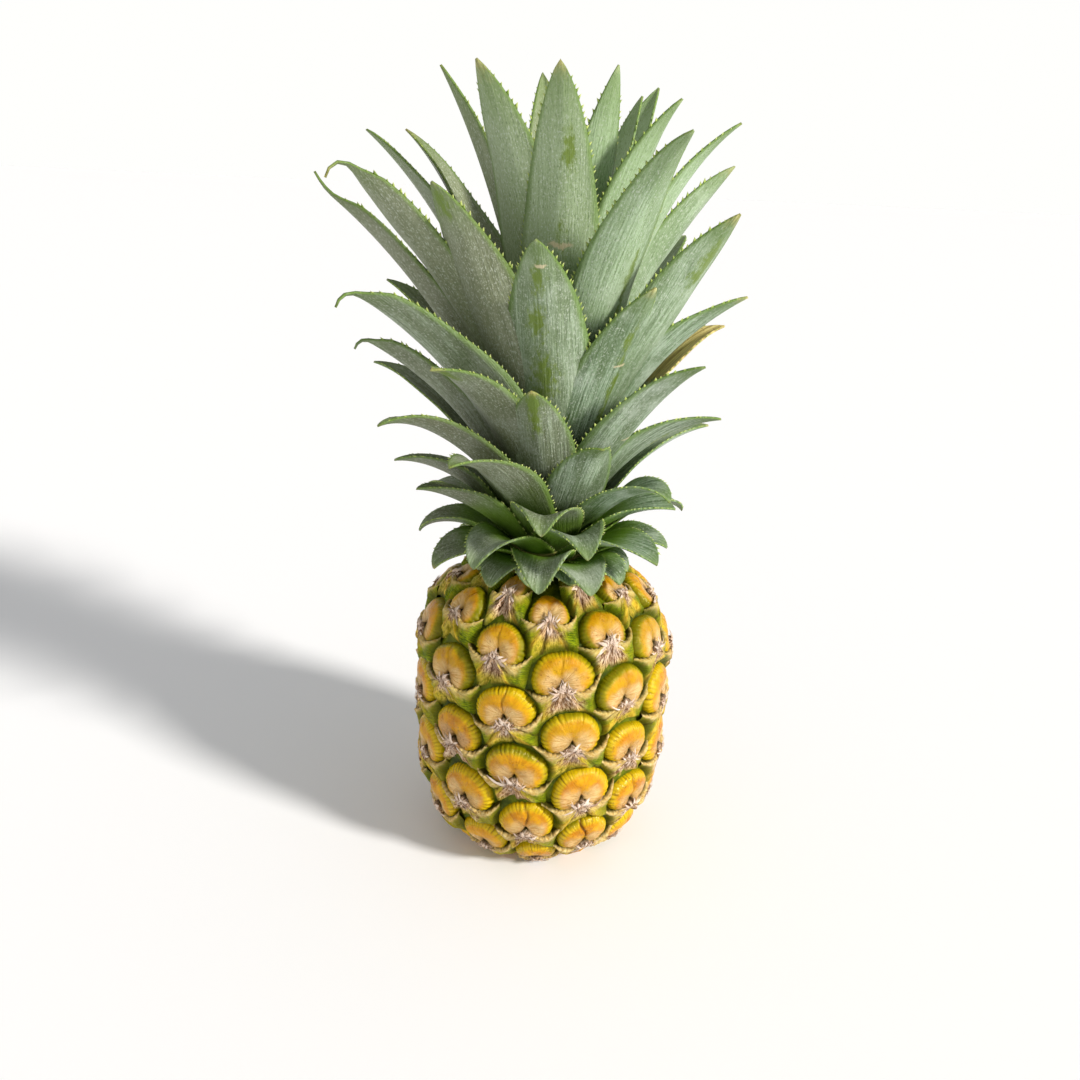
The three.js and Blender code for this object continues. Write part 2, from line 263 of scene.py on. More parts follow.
eyes = [make_eye(int(n)) for n in numbers]
by_number = {eye["number"]: eye for eye in eyes}
print(len(eyes), "eyes")


# %% Lay a flat drawing of one eye at its place
def at_eye(eye, across, climb, height):
    """across and climb in metres from the middle of the eye, turned and sized as that eye is."""
    cos, sin = math.cos(eye["roll"]), math.sin(eye["roll"])
    a = (across * cos - climb * sin) * eye["size"]
    b = (across * sin + climb * cos) * eye["size"]
    lifted = height - GROOVE_DEPTH + eye["tilt"] * b / (10 * MM) + eye["lean"] * a / (10 * MM)
    return on_barrel(eye["turn"] + a / FRUIT_RADIUS, eye["arc"] + b, lifted)


# %% [markdown]
# ## The shields
# The golden, domed part of an eye is the old flower's sepals, grown into a kidney-shaped shield with a fine
# scalloped rim. It could be a displaced plane, but the scallops run out from the middle like spokes, so the
# mesh does too: a filled circle is inset ring by ring, as on a modelled button, and the formula below then
# lifts its rings into a cushion and draws its rim in and out.

# %% Make the master shield: a circle inset into rings
SHIELD_SPOKES = 128
RING_SHARES = [1.07, 1.0, 0.97, 0.93, 0.88, 0.81, 0.72, 0.61, 0.48, 0.34, 0.18]


def make_shield_master():
    bpy.ops.mesh.primitive_circle_add(vertices=SHIELD_SPOKES, radius=RING_SHARES[0], fill_type="NGON")
    master = named("shield_master")
    inset_rings(master, [outer - inner for outer, inner in zip(RING_SHARES, RING_SHARES[1:])])
    leave_edit()
    return master


shield_master = make_shield_master()
print("master shield has", len(shield_master.data.vertices), "points")

# %% The shield's outline, in degrees and millimetres, from its top round one side to the notch below
SHIELD_OUTLINE = [
    (0, 11.2), (25, 11.8), (50, 12.8), (75, 13.7), (95, 13.9), (115, 13.4), (133, 12.1),
    (148, 10.2), (160, 7.8), (170, 5.2), (180, 3.0),
]
SHIELD_HEIGHT = 4.5 * MM
SHIELD_DISH = 1.5 * MM
SCALLOP_DEPTH = 0.05
SCALLOP_ROUNDING = 0.6
SCALLOP_MIDDLE = 0.6
SCALLOP_RELIEF = 0.62 * MM
MOUTH_CLIMB = -1.8
MOUTH_DEPTH = 1.0 * MM


# %% The shape of one eye's shield
def shield_shape(eye, share, around):
    """around in radians from the shield's top; gives across, climb, height and the marks for its paint."""
    outline = from_table(SHIELD_OUTLINE, np.degrees(np.abs(around))) * MM
    side = 1 + eye["lobes"] * np.sin(around) + 0.022 * np.sin(2 * around + 4 * eye["phase"])
    side = side + 0.02 * np.sin(3 * around + 5 * eye["phase"]) + 0.014 * np.sin(5 * around + 7 * eye["phase"])
    uneven = 0.6 * np.sin(3 * around + eye["phase"]) + 0.4 * np.sin(8 * around + 2 * eye["phase"])
    strength = 0.65 + 0.35 * np.sin(5 * around + 3 * eye["phase"])
    wave = np.abs(np.sin(around * eye["scallops"] / 2 + eye["phase"] + uneven)) ** SCALLOP_ROUNDING
    scallop = SCALLOP_MIDDLE + strength * (wave - SCALLOP_MIDDLE)
    reach = outline * side * (1 + SCALLOP_DEPTH * (scallop - SCALLOP_MIDDLE) * ease(share, 0.7, 0.97)) * share
    across, climb = reach * np.sin(around), reach * np.cos(around)
    edge = np.clip((share - 0.36) / 0.64, 0, 1.11)
    cushion = np.sign(1 - edge) * np.abs(1 - edge**2.5) ** 0.6
    height = SHIELD_HEIGHT * cushion
    height -= SHIELD_DISH * np.exp(-((across / (6.5 * MM)) ** 2) - (((climb + 2 * MM) / (4.5 * MM)) ** 2))
    height += SCALLOP_RELIEF * (scallop - 0.5) * ease(share, 0.66, 0.9) * (1 - ease(share, 0.99, 1.04))
    lumps = np.sin(across * 900 + eye["phase"]) * np.sin(climb * 800 + 2 * eye["phase"])
    height += 0.22 * MM * lumps * (1 - ease(share, 0.8, 1.0))
    crease_width = 0.42 * MM / np.maximum(reach, 1 * MM) + 0.02
    crease_path = around - eye["crease_turn"] - 0.12 * np.sin(share * 6 + eye["phase"])
    crease = np.exp(-((crease_path / crease_width) ** 2))
    height -= eye["crease"] * crease * ease(share, 0.0, 0.3)
    notch = np.exp(-(((np.pi - np.abs(around)) / 0.42) ** 2)) * ease(share, 0.1, 0.6)
    height -= 0.8 * MM * notch
    mouth = np.exp(-((across / (0.8 * MM)) ** 2) - (((climb - MOUTH_CLIMB * MM) / (1.3 * MM)) ** 2))
    height -= MOUTH_DEPTH * mouth
    creased = crease * ease(share, 0.02, 0.2) * eye["crease"] / (1.1 * MM)
    # painted shade: the mouth, the creases and the notch darken as deep as they sink
    recess_shade = np.clip(mouth + 0.8 * creased + 0.3 * notch, 0, 1)
    return across, climb, height, scallop, recess_shade


# %% Lay the shields, in a lower and an upper piece
flat = points_of(shield_master)
flat_share = np.hypot(flat[:, 0], flat[:, 1])
flat_around = np.arctan2(flat[:, 0], flat[:, 1])


def lay_shields(name, chosen):
    places, marks = [], []
    for eye in chosen:
        across, climb, height, scallop, recess_shade = shield_shape(eye, flat_share, flat_around)
        places.append(at_eye(eye, across, climb, height))
        marks.append(
            {
                "eye_across": across / MM, "eye_climb": climb / MM, "share": flat_share, "scallop": scallop,
                "recess_shade": recess_shade, "tone": eye["tone"], "green": eye["green"], "dry": eye["dry"],
            }
        )
    return lay_copies(name, shield_master, places, marks)


half = len(eyes) // 2
lower_shields = lay_shields("eye_shields_lower", eyes[:half])
upper_shields = lay_shields("eye_shields_upper", eyes[half:])
drop(shield_master)

# %% [markdown]
# ## The bracts
# Under each shield sits the leafy bract of its old flower: two wings that curl up round the shield's lobes
# like a moustache, a skirt that runs down between the eyes below, and a shrivelled middle. One grid is
# shaped into it. Its first rows climb the hidden back of the wings, and the others run down the skirt. Folds
# fan out from the notch, because that is where the bract dried and shrank.

# %% Make the master bract: a grid whose rows go over the crest and down the skirt
BRACT_COLUMNS = 60
BRACT_ROWS = 18
BRACT_HALF_WIDTH = 17.4
BACK_ROWS = 3

bpy.ops.mesh.primitive_grid_add(x_subdivisions=BRACT_COLUMNS, y_subdivisions=BRACT_ROWS, size=2)
bract_master = named("bract_master")
bract_flat = points_of(bract_master)
bract_across = bract_flat[:, 0] * BRACT_HALF_WIDTH
bract_row = (1 - bract_flat[:, 1]) / 2 * BRACT_ROWS
bract_down = np.clip((bract_row - BACK_ROWS) / (BRACT_ROWS - BACK_ROWS), 0, 1)
bract_behind = np.clip((BACK_ROWS - bract_row) / BACK_ROWS, 0, 1)

# %% The bract's crest, its lower edge and its height, as tables across it in millimetres
CREST = [
    (-17.4, -4.6), (-15, -5.7), (-13, -6.4), (-11, -6.8), (-8, -7.2), (-6, -6.9), (-4, -5.6), (-2, -4.2),
    (0, -2.8), (2, -4.1), (4, -5.4), (6, -6.4), (8, -6.8), (11, -6.0), (13, -4.9), (15, -3.2), (17.4, -0.4),
]
HEM = [
    (-17.4, -8.5), (-14, -16), (-11, -22), (-8, -22.5), (-5, -20.5), (0, -18.5), (5, -17.8), (10, -18.6),
    (14, -20), (16, -17), (17.4, -5),
]
CREST_HEIGHT = [
    (-17.4, 1.6), (-14, 3.7), (-10, 4.5), (-5, 4.6), (0, 5.0), (5, 4.6), (10, 4.7), (14, 4.0), (17.4, 1.8),
]
RIDGES = [((-0.8, -6.5), (-10, -20.5)), ((0.8, -6.5), (14.5, -18.5))]
RIDGE_HEIGHT = 1.3
FAN_CLIMB = -2.8

# %% [markdown]
# ## Room for the neighbours
# A skirt has to sink before it meets the shields around it, so each of its points looks up how far away the
# nearest other shield is. The eyes that touch one another are 5, 8 and 13 places apart on the spiral.

# %% How near a place is to a ridge, and to the shields around
def distance_to(line, across, climb):
    (x0, y0), (x1, y1) = line
    t = ((across - x0) * (x1 - x0) + (climb - y0) * (y1 - y0)) / ((x1 - x0) ** 2 + (y1 - y0) ** 2)
    t = np.clip(t, 0, 1)
    return np.hypot(across - x0 - t * (x1 - x0), climb - y0 - t * (y1 - y0))


def share_in(eye, across, climb):
    """How far out a place, in millimetres from the eye's middle, lies in its shield: 1 is the rim."""
    cos, sin = math.cos(eye["roll"]), math.sin(eye["roll"])
    a = (across * cos + climb * sin) / eye["size"]
    b = (climb * cos - across * sin) / eye["size"]
    outline = from_table(SHIELD_OUTLINE, np.degrees(np.abs(np.arctan2(a, b))))
    return np.hypot(a, b) / outline


def gap_to_neighbours(eye, across, climb):
    """The width left to the nearest other shield, in millimetres; negative inside it."""
    cos, sin = math.cos(eye["roll"]), math.sin(eye["roll"])
    a = (across * cos - climb * sin) * eye["size"]
    b = (across * sin + climb * cos) * eye["size"]
    gap = np.full(across.shape, 9.0)
    for steps in (-13, -8, -5, 5, 8, 13):
        other = by_number.get(eye["number"] + steps)
        if other:
            turn = math.radians((steps * EYE_DIVERGENCE + 180) % 360 - 180)
            share = share_in(other, a - turn * FRUIT_RADIUS / MM, b - steps * EYE_RISE / MM)
            gap = np.minimum(gap, (share - 1) * 13)
    return gap


# %% The shape of one eye's bract
def bract_shape(eye):
    """In millimetres: across, climb and height, and the turn and reach of each point from the notch."""
    a, down, behind = bract_across, bract_down, bract_behind
    sway = eye["wings"] / MM
    crest = from_table(CREST, a) + np.where(a > 0, sway[0], sway[1]) * (a / BRACT_HALF_WIDTH) ** 2
    ragged = 0.25 * np.sin(a * 2.9 + eye["phase"]) + 0.18 * np.sin(a * 6.1 + 3 * eye["phase"])
    hem = from_table(HEM, a) + np.where(a > 0, sway[2], sway[3]) * 0.5
    climb = crest + ragged * (1 - down) + (hem - crest) * down + 1.4 * behind
    fan_turn = np.arctan2(a, -(climb - FAN_CLIMB))
    fan_reach = np.hypot(a, climb - FAN_CLIMB)
    ridge = from_table(CREST_HEIGHT, a)
    gap = gap_to_neighbours(eye, a, climb)
    height = ridge * (1 - down) ** 0.9 - (ridge + 1.2) * behind**1.5
    for line in RIDGES:
        near = distance_to(line, a, climb)
        height = height + RIDGE_HEIGHT * np.exp(-((near / 1.4) ** 2)) * ease(down, 0.0, 0.25)
    shrivel = np.exp(-((a / 5.5) ** 2)) * ease(down, 0.02, 0.2) * (1 - ease(down, 0.85, 1))
    height = height - shrivel * (0.4 + 1.2 * eye["dry"])
    waves = zip((9, 15, 23, 31), (0.42, 0.34, 0.24, 0.14), (1, 3, 5, 7))
    folds = sum(size * np.sin(fan_turn * count + order * eye["phase"]) for count, size, order in waves)
    height = height + folds * ease(fan_reach, 1, 5) * (1 - 0.6 * ease(np.abs(a), 6, 12)) * (1 - behind)
    pleats = np.sin(climb * 6.6 + a * 0.8) * 0.16 * ease(np.abs(a), 7, 11) * ease(down, 0.05, 0.3)
    height = (height + pleats + 0.5) * ease(gap, -0.4, 3.2) - 0.9 * (1 - ease(gap, -0.4, 1.2)) * (1 - behind)
    return a, climb, height, fan_turn, fan_reach, folds, gap


# %% Lay the bracts
places, marks = [], []
for eye in eyes:
    across, climb, height, fan_turn, fan_reach, folds, gap = bract_shape(eye)
    places.append(at_eye(eye, across * MM, climb * MM, height * MM))
    marks.append(
        {
            "eye_across": across, "eye_climb": climb, "down": bract_down, "behind": bract_behind,
            "fan_turn": fan_turn, "fan_reach": fan_reach, "fold": folds, "gap": gap,
            "tone": eye["tone"], "green": eye["green"], "dry": eye["dry"],
        }
    )
bracts = lay_copies("eye_bracts", bract_master, places, marks)
drop(bract_master)

# %% [markdown]
# ## The dry scales
# Where the flower sat, the bract's own tip has withered to a whitish, curled scale that stands up into the
# shield's notch, with ragged strips of skin round it. Each is the same small pointed flake: a grid, narrowed
# to its tip and curled, and bent differently on every eye.

# %% Make the master flake, and list the kinds of flake
FLAKE_COLUMNS = 4
FLAKE_ROWS = 8

bpy.ops.mesh.primitive_grid_add(x_subdivisions=FLAKE_COLUMNS, y_subdivisions=FLAKE_ROWS, size=2)
flake_master = named("flake_master")
flake_flat = points_of(flake_master)
flake_side = flake_flat[:, 0]
flake_t = (flake_flat[:, 1] + 1) / 2

# each kind of flake: its direction in degrees from straight up, its spread, length, width, start and lift
FLAKES = [
    (0, 12, (4.5, 6.5), (1.6, 2.8), (0, -5.8), (0.3, 0.9)),
    (-38, 14, (3.0, 5.0), (1.0, 2.0), (-1.0, -5.8), (0.3, 1.0)),
    (40, 14, (3.0, 5.0), (1.0, 2.0), (1.0, -5.8), (0.3, 1.0)),
    (-78, 14, (3.5, 6.0), (1.0, 1.8), (-1.6, -6.2), (0.2, 0.8)),
    (80, 14, (3.5, 6.0), (1.0, 1.8), (1.6, -6.2), (0.2, 0.8)),
    (-104, 10, (6.0, 9.5), (1.2, 2.2), (-2.0, -6.4), (0.2, 0.6)),
    (106, 10, (6.0, 9.5), (1.2, 2.2), (2.0, -6.4), (0.2, 0.6)),
    (165, 18, (2.5, 6.5), (0.9, 2.0), (0.8, -6.8), (0.3, 1.0)),
    (-160, 18, (2.5, 6.5), (0.9, 2.0), (-0.8, -6.8), (0.3, 1.0)),
    (-130, 14, (2.5, 6.0), (0.8, 1.6), (-1.4, -6.8), (0.3, 0.9)),
    (134, 14, (2.5, 6.0), (0.8, 1.6), (1.4, -6.8), (0.3, 0.9)),
]


def skirt_height(across, climb):
    """About how high the bract and the shield stand at a place on the eye, in millimetres."""
    crest = from_table(CREST, across)
    hem = from_table(HEM, across)
    down = np.clip((crest - climb) / (crest - hem), 0, 1)
    return from_table(CREST_HEIGHT, across) * (1 - down) ** 1.1


# %% Lay the scales on every eye
places, marks = [], []
for eye in eyes:
    for aim, spread, lengths, widths, start, lifts in FLAKES:
        angle = math.radians(aim + chance.normal(0, spread))
        length = chance.uniform(*lengths) * (0.8 + 0.4 * eye["dry"])
        width = chance.uniform(*widths) * eye["tuft"]
        lift = chance.uniform(*lifts)
        curl = chance.uniform(0.15, 0.6)
        bend = chance.normal(0, 0.35)
        ragged = 1 + 0.16 * np.sin(flake_t * 17 + chance.uniform(0, 6)) * np.abs(flake_side)
        half = width / 2 * np.maximum(1 - flake_t, 0.02) ** 0.75 * (0.65 + 0.9 * flake_t) * ragged
        course = angle + bend * flake_t
        side = flake_side * half
        across = start[0] + flake_t * length * np.sin(course) + side * np.cos(course)
        climb = start[1] + flake_t * length * np.cos(course) - side * np.sin(course)
        over = lift * np.sin(np.pi * np.minimum(flake_t * 1.15, 1)) + 0.25
        height = skirt_height(across, climb) + over - curl * half * flake_side**2
        height = height + 0.1 * np.sin(flake_side * 5 + flake_t * 7 + eye["phase"])
        places.append(at_eye(eye, across * MM, climb * MM, height * MM))
        tone = chance.uniform(0, 1)
        pale = chance.uniform(0.55, 1.0) if abs(aim) < 90 else chance.uniform(0.15, 0.95)
        marks.append({"tone": tone, "pale": pale, "length": flake_t, "rib": flake_side * width})
scales = lay_copies("bract_scales", flake_master, places, marks)
drop(flake_master)

# %% [markdown]
# ## The dry fibres
# Between the scales stick out the fibres that were the flower's veins. Each is a thin four-sided spike, bent
# out and back to the rind.

# %% Make the master fibre: a tall thin spike cut into lengths
FIBRE_LENGTHS = 5

bpy.ops.mesh.primitive_cone_add(vertices=4, radius1=1, radius2=0.25, depth=1, location=(0, 0, 0.5))
fibre_master = named("fibre_master")
cut_to_lengths(fibre_master, FIBRE_LENGTHS)
fibre_flat = points_of(fibre_master)
fibre_flat[:, 2] -= fibre_flat[:, 2].min()
print("one fibre has", len(fibre_flat), "points")

# %% Lay a spray of fibres on each eye
FIBRES_PER_EYE = 27
UPWARD_FIBRES = 7

places, marks = [], []
for eye in eyes:
    for number in range(FIBRES_PER_EYE):
        upward = number < UPWARD_FIBRES
        angle = chance.normal(0, 0.6) if upward else math.pi + chance.normal(0, 0.95)
        length = chance.uniform(3.0, 5.5) if upward else chance.uniform(2.5, 7.5) * (0.7 + 0.6 * eye["dry"])
        width = chance.uniform(0.2, 0.4) if upward else chance.uniform(0.14, 0.36)
        start_a = chance.normal(0, 1.8)
        start_b = -5.4 + chance.normal(0, 1.0)
        bow = chance.uniform(0.1, 1.0)
        bend = chance.normal(0, 0.5)
        t = fibre_flat[:, 2]
        course = angle + bend * t
        side = fibre_flat[:, 0] * width * (1 - 0.6 * t)
        across = start_a + t * length * np.sin(course) + side * np.cos(course)
        climb = start_b + t * length * np.cos(course) - side * np.sin(course)
        over = 0.3 + bow * np.sin(np.pi * t) + fibre_flat[:, 1] * width * 0.6
        height = skirt_height(across, climb) + over
        places.append(at_eye(eye, across * MM, climb * MM, height * MM))
        tone = chance.uniform(0, 1)
        pale = 0.85 if upward else chance.uniform(0, 1)
        marks.append({"tone": tone, "pale": pale, "length": t, "rib": fibre_flat[:, 0]})
fibres = lay_copies("bract_fibres", fibre_master, places, marks)
drop(fibre_master)

# %% [markdown]
# ## The rind between the eyes
# Behind the shields and bracts runs the rind itself. It shows only in the grooves, at the shoulder under the
# crown and on the flat base, so a sphere with plenty of rings is drawn onto the barrel and cut flat below.

# %% Cut a piece flat at the base
BASE_LIFT = 0.15 * MM
CLOSE = 0.001 * MM


def cut_base(piece):
    edit(piece)
    bpy.ops.mesh.bisect(
        plane_co=(0, 0, BASE_LIFT), plane_no=(0, 0, 1), use_fill=True, clear_inner=True, threshold=CLOSE
    )
    leave_edit()


# %% Make the rind from a sphere, and cut its base
RIND_TURNS = 160
RIND_RINGS = 110

bpy.ops.mesh.primitive_uv_sphere_add(segments=RIND_TURNS, ring_count=RIND_RINGS, radius=1)
rind = named("rind")
sphere = points_of(rind)
rind_turn = np.arctan2(sphere[:, 0], -sphere[:, 1])
rind_arc = (np.pi / 2 + np.arcsin(np.clip(sphere[:, 2], -1, 1))) / np.pi * WHOLE_ARC
swell = np.sin(rind_turn * 21 + rind_arc * 300) * np.sin(rind_arc * 420 - rind_turn * 13) * 0.25 * MM
laid = on_barrel(rind_turn, rind_arc, swell - GROOVE_DEPTH)
rind.data.vertices.foreach_set("co", laid.ravel())
cut_base(rind)
only(rind)
bpy.ops.object.shade_smooth_by_angle(angle=math.radians(50))
print("rind spans", [round(v, 4) for v in rind.dimensions])

# %% Cut the lowest shields, bracts and fibres on the same plane
for piece in (lower_shields, bracts, scales, fibres):
    cut_base(piece)

# %% [markdown]
# ## The cut stalk
# The fruit was cut from its stalk, so the middle of the base shows a round, fibrous scar with a shallow
# groove round it. A disc is inset, and its rings are pushed in by about a tenth of a millimetre.

# %% Make the stalk's scar
STALK_RADIUS = 11.5 * MM
GROOVE_RADIUS = 14.5 * MM

bpy.ops.mesh.primitive_circle_add(vertices=48, radius=GROOVE_RADIUS, fill_type="NGON", location=(0, 0, 0))
scar = named("stalk_scar")
inset_rings(scar, [0.5 * MM, 1.0 * MM, 1.0 * MM, 0.5 * MM, 2.0 * MM, 3.0 * MM, 3.0 * MM])
bpy.ops.mesh.select_all(action="SELECT")
bpy.ops.mesh.flip_normals()
leave_edit()
spots = points_of(scar)
scar_r = np.hypot(spots[:, 0], spots[:, 1])
dip = 0.9 * MM * ease(scar_r, 11.4 * MM, 12.4 * MM) * (1 - ease(scar_r, 13.6 * MM, 14.4 * MM))
bulge = 0.25 * MM * (scar_r / STALK_RADIUS) ** 2 * (scar_r < STALK_RADIUS)
spots[:, 2] = 0.02 * MM + np.minimum(dip + bulge, 0.11 * MM)
scar.data.vertices.foreach_set("co", spots.ravel())
only(scar)
bpy.ops.object.shade_smooth()
print("stalk scar is", round(2 * STALK_RADIUS / MM), "mm across inside its groove")

# %% [markdown]
# ## How a crown leaf grows
# The crown is a leafy stem. Its leaves follow a spiral too, the lowest ones short and bent right over, the
# inner ones long and upright. Near the stem each blade curls round the crown's axis, one inside the next, and
# further out it opens into a shallow channel. The tables below are the growing rule: each pairs a leaf's
# number, counted from the lowest one to the heart, with its value. The leaves that the photograph shows
# growing another way have their habit listed.

# %% The rule of the leaves, in millimetres and degrees
LEAF_COUNT = 80
LEAF_DIVERGENCE = 138.6
LEAF_START_TURN = -1 - 45 * LEAF_DIVERGENCE
ROOT_DEPTH = 4
SEAT_RADIUS = 17.6
SHOULDER_CLEARANCE = 3.4
ROLL_LIMIT = 1.15
ROLL_TIGHTEST = 4.5
CHANNEL = 0.36
KEEL = 0.07
OPENING = 0.15

LEAF_HEIGHT = [(0, 140.5), (16, 142), (32, 150), (48, 161), (64, 175), (80, 188)]
LEAF_RADIUS = [(0, 18), (16, 18), (32, 16), (48, 12), (64, 7), (80, 3)]
LEAF_LENGTH = [
    (0, 19), (12, 32), (20, 46), (27, 56), (34, 68), (40, 82), (48, 100), (56, 118), (64, 148),
    (72, 160), (80, 150),
]
LEAF_WIDTH = [
    (0, 18), (16, 26), (32, 30), (45, 31), (52, 35), (58, 42), (64, 34), (76, 32), (80, 26),
]
LEAN_ROOT = [(0, 82), (16, 62), (32, 42), (48, 28), (64, 15), (80, 4)]
LEAN_TIP = [
    (0, 140), (16, 126), (27, 106), (32, 88), (48, 70), (56, 64), (64, 46), (72, 28), (80, 15),
]

# %% Leaves with a habit of their own
# stretch and broad multiply length and width, dried is how much of the tip has dried, the others are degrees
HABIT = {
    6: {"stretch": 0.85, "turn": -6},
    16: {"stretch": 1.1},
    17: {"tip": -30},
    19: {"hook": 30},
    24: {"hook": 40},
    27: {"turn": -8, "tip": -12, "hook": 60},
    29: {"tip": -26, "twist": 15},
    30: {"stretch": 0.8},
    32: {"stretch": 0.95, "tip": -10, "hook": 80},
    34: {"twist": 20},
    35: {"stretch": 0.85, "tip": -14, "hook": 60},
    37: {"stretch": 1.12, "tip": -6},
    39: {"stretch": 1.3, "tip": -4},
    40: {"stretch": 0.76, "tip": -52, "turn": -2, "hook": 40},
    42: {"stretch": 1.1, "twist": 12, "hook": 20},
    43: {"stretch": 0.92, "root": -5, "tip": 4, "twist": -15},
    45: {"stretch": 0.84, "root": -6, "tip": -34, "turn": -11, "broad": 0.95},
    47: {"stretch": 1.08, "tip": -4, "twist": 30, "thread": 90},
    48: {"stretch": 0.96, "tip": -20, "twist": -15},
    50: {"stretch": 0.97, "tip": -3, "turn": -10, "twist": 8},
    51: {"tip": -8, "dried": 0.42},
    52: {"stretch": 1.08, "root": 3, "tip": -14},
    53: {"stretch": 1.04, "root": -6, "tip": -30, "turn": 10, "twist": -6, "broad": 0.88},
    55: {"stretch": 1.16, "root": 8, "tip": -4, "twist": 14, "thread": 80},
    56: {"stretch": 0.95, "tip": -4, "twist": -16},
    58: {"stretch": 1.05, "root": 1, "tip": -26, "turn": -10, "broad": 0.88},
    60: {"stretch": 1.15, "root": 8, "tip": -4, "twist": 16, "thread": -30, "broad": 0.8},
    61: {"stretch": 0.99, "root": 9, "tip": -20, "twist": -20},
    63: {"root": 10, "tip": -22, "turn": -14, "twist": 12},
    64: {"twist": -55, "broad": 0.8},
    65: {"stretch": 1.08, "root": 3, "tip": 6, "twist": 20},
    66: {"stretch": 1.1, "root": 4, "tip": 2, "turn": -2, "broad": 0.88},
    68: {"stretch": 1.04, "root": 14, "tip": 12, "turn": -8, "twist": 20, "thread": 110, "broad": 0.85},
    70: {"root": 7, "tip": 12, "turn": 14, "twist": 16},
    71: {"stretch": 1.08, "tip": 8, "turn": -8},
    76: {"stretch": 1.05, "root": 3, "tip": 12, "turn": -8, "broad": 1.1},
}

# %% What is usual where a leaf's habit says nothing
USUAL = {
    "stretch": 1, "root": 0, "tip": 0, "turn": 0, "broad": 1, "twist": 0, "hook": 0, "thread": 0, "dried": 0,
}
print(len(HABIT), "leaves have a habit of their own")


# %% Grow one leaf by the rule
def draw(leaf, purpose):
    """A number from -1 to 1 that is always the same for one leaf and one purpose."""
    wave = math.sin(leaf * 12.9898 + purpose * 78.233) * 43758.5453
    return 2 * (wave - math.floor(wave)) - 1


def grow(leaf):
    habit = USUAL | HABIT.get(leaf, {})
    turn = LEAF_START_TURN + leaf * LEAF_DIVERGENCE + habit["turn"] + draw(leaf, 1)
    return {
        "leaf": leaf,
        "turn": math.radians(turn),
        "length": from_table(LEAF_LENGTH, leaf) * habit["stretch"] * (1 + 0.04 * draw(leaf, 2)),
        "width": from_table(LEAF_WIDTH, leaf) * habit["broad"] * (1 + 0.05 * draw(leaf, 3)),
        "lean_root": from_table(LEAN_ROOT, leaf) + habit["root"],
        "lean_tip": from_table(LEAN_TIP, leaf) + habit["tip"] + 1.5 * draw(leaf, 4),
        "sweep": 0.02 * draw(leaf, 5),
        "twist": math.radians(6 * draw(leaf, 6) + habit["twist"]),
        "hook": (9 + 16 * ease(leaf, 40, 20)) * (1 + draw(leaf, 7)) + habit["hook"],
        "thread": habit["thread"],
        "dried": habit["dried"] or (0.03 if draw(leaf, 10) > 0.5 else 0.0),
        "radius": from_table(LEAF_RADIUS, leaf),
        "height": from_table(LEAF_HEIGHT, leaf),
    }


leaves = [grow(i) for i in range(LEAF_COUNT)]
print(len(leaves), "leaves, the longest", round(max(g["length"] for g in leaves)), "mm")

# %% [markdown]
# ## Marks of handling and age
# Where hands and boxes have rubbed a leaf, its silvery bloom is gone in patches. Each patch is listed as its
# place along the blade and across it, and half its length and width. A few leaves have a healed scratch, and
# the inner leaves are younger and paler than the outer ones.

# %% Rubbed patches, scratches and youth
RUBBED = {
    43: [(0.7, 0.1, 0.15, 0.4)],
    45: [(0.8, 0.0, 0.16, 0.34), (0.95, 0.0, 0.08, 0.8)],
    50: [(0.93, 0.1, 0.08, 0.7)],
    53: [(0.78, 0.1, 0.09, 0.25), (0.56, 0.3, 0.12, 0.3), (0.42, 0.2, 0.05, 0.2)],
    56: [(0.7, 0.3, 0.12, 0.3)],
    58: [(0.86, -0.1, 0.08, 0.35), (0.7, -0.15, 0.06, 0.3), (0.5, 0.0, 0.12, 0.35)],
    61: [(0.85, 0.2, 0.12, 0.5)],
    63: [(0.94, -0.1, 0.06, 0.7)],
    66: [(0.6, 0.55, 0.1, 0.2), (0.45, 0.5, 0.06, 0.2)],
    71: [(0.62, 0.1, 0.035, 0.16), (0.54, 0.1, 0.05, 0.12), (0.8, 0.3, 0.08, 0.3)],
}
SCARS = {45: (0.3, 0.5), 48: (0.5, 0.2), 53: (0.66, 0.25), 58: (0.9, 0.1), 66: (0.34, 0.3), 71: (0.585, 0.05)}
YOUTH = [(0, 0.0), (54, 0.1), (64, 0.5), (71, 1.0), (80, 1.0)]
print(sum(len(patches) for patches in RUBBED.values()), "rubbed patches and", len(SCARS), "scratches")

# %% [markdown]
# ## From root to tip
# Each leaf's rib is followed from the stem in 400 small steps, leaning further out as its rule says. Where it
# would sink into the fruit's shoulder, it lies on it instead. The flat blade is then bent along the rib:
# rolled round the stem at its root, opened to a shallow channel further out, and twisted a little.

# %% Follow one leaf's rib from its root to its tip
FINE = 400
THREAD_START = 0.91


def follow_rib(growth):
    """Distance from the axis, height and lean at fine steps along the rib, in millimetres and radians."""
    u = np.linspace(0, 1, FINE + 1)
    bow = growth["lean_tip"] - growth["lean_root"]
    curl = growth["hook"] * u**9 + growth["thread"] * ease(u, THREAD_START, 1)
    lean = np.radians(growth["lean_root"] + bow * u**1.6 + curl)
    step = growth["length"] / FINE
    travelled = np.concatenate([[0], np.cumsum(np.sin(lean[:-1]))]) * step
    r = growth["radius"] - ROOT_DEPTH * math.sin(lean[0]) + travelled
    z = np.empty_like(r)
    z[0] = growth["height"] - ROOT_DEPTH * math.cos(lean[0])
    upper = profile_z > profile_z.mean()
    shoulder = np.interp(r * MM, profile_r[upper][::-1], profile_z[upper][::-1]) / MM + SHOULDER_CLEARANCE
    for i in range(FINE):
        z[i + 1] = z[i] + math.cos(lean[i]) * step
        if r[i + 1] > SEAT_RADIUS:
            z[i + 1] = max(z[i + 1], shoulder[i + 1])
    return u, r, z, lean


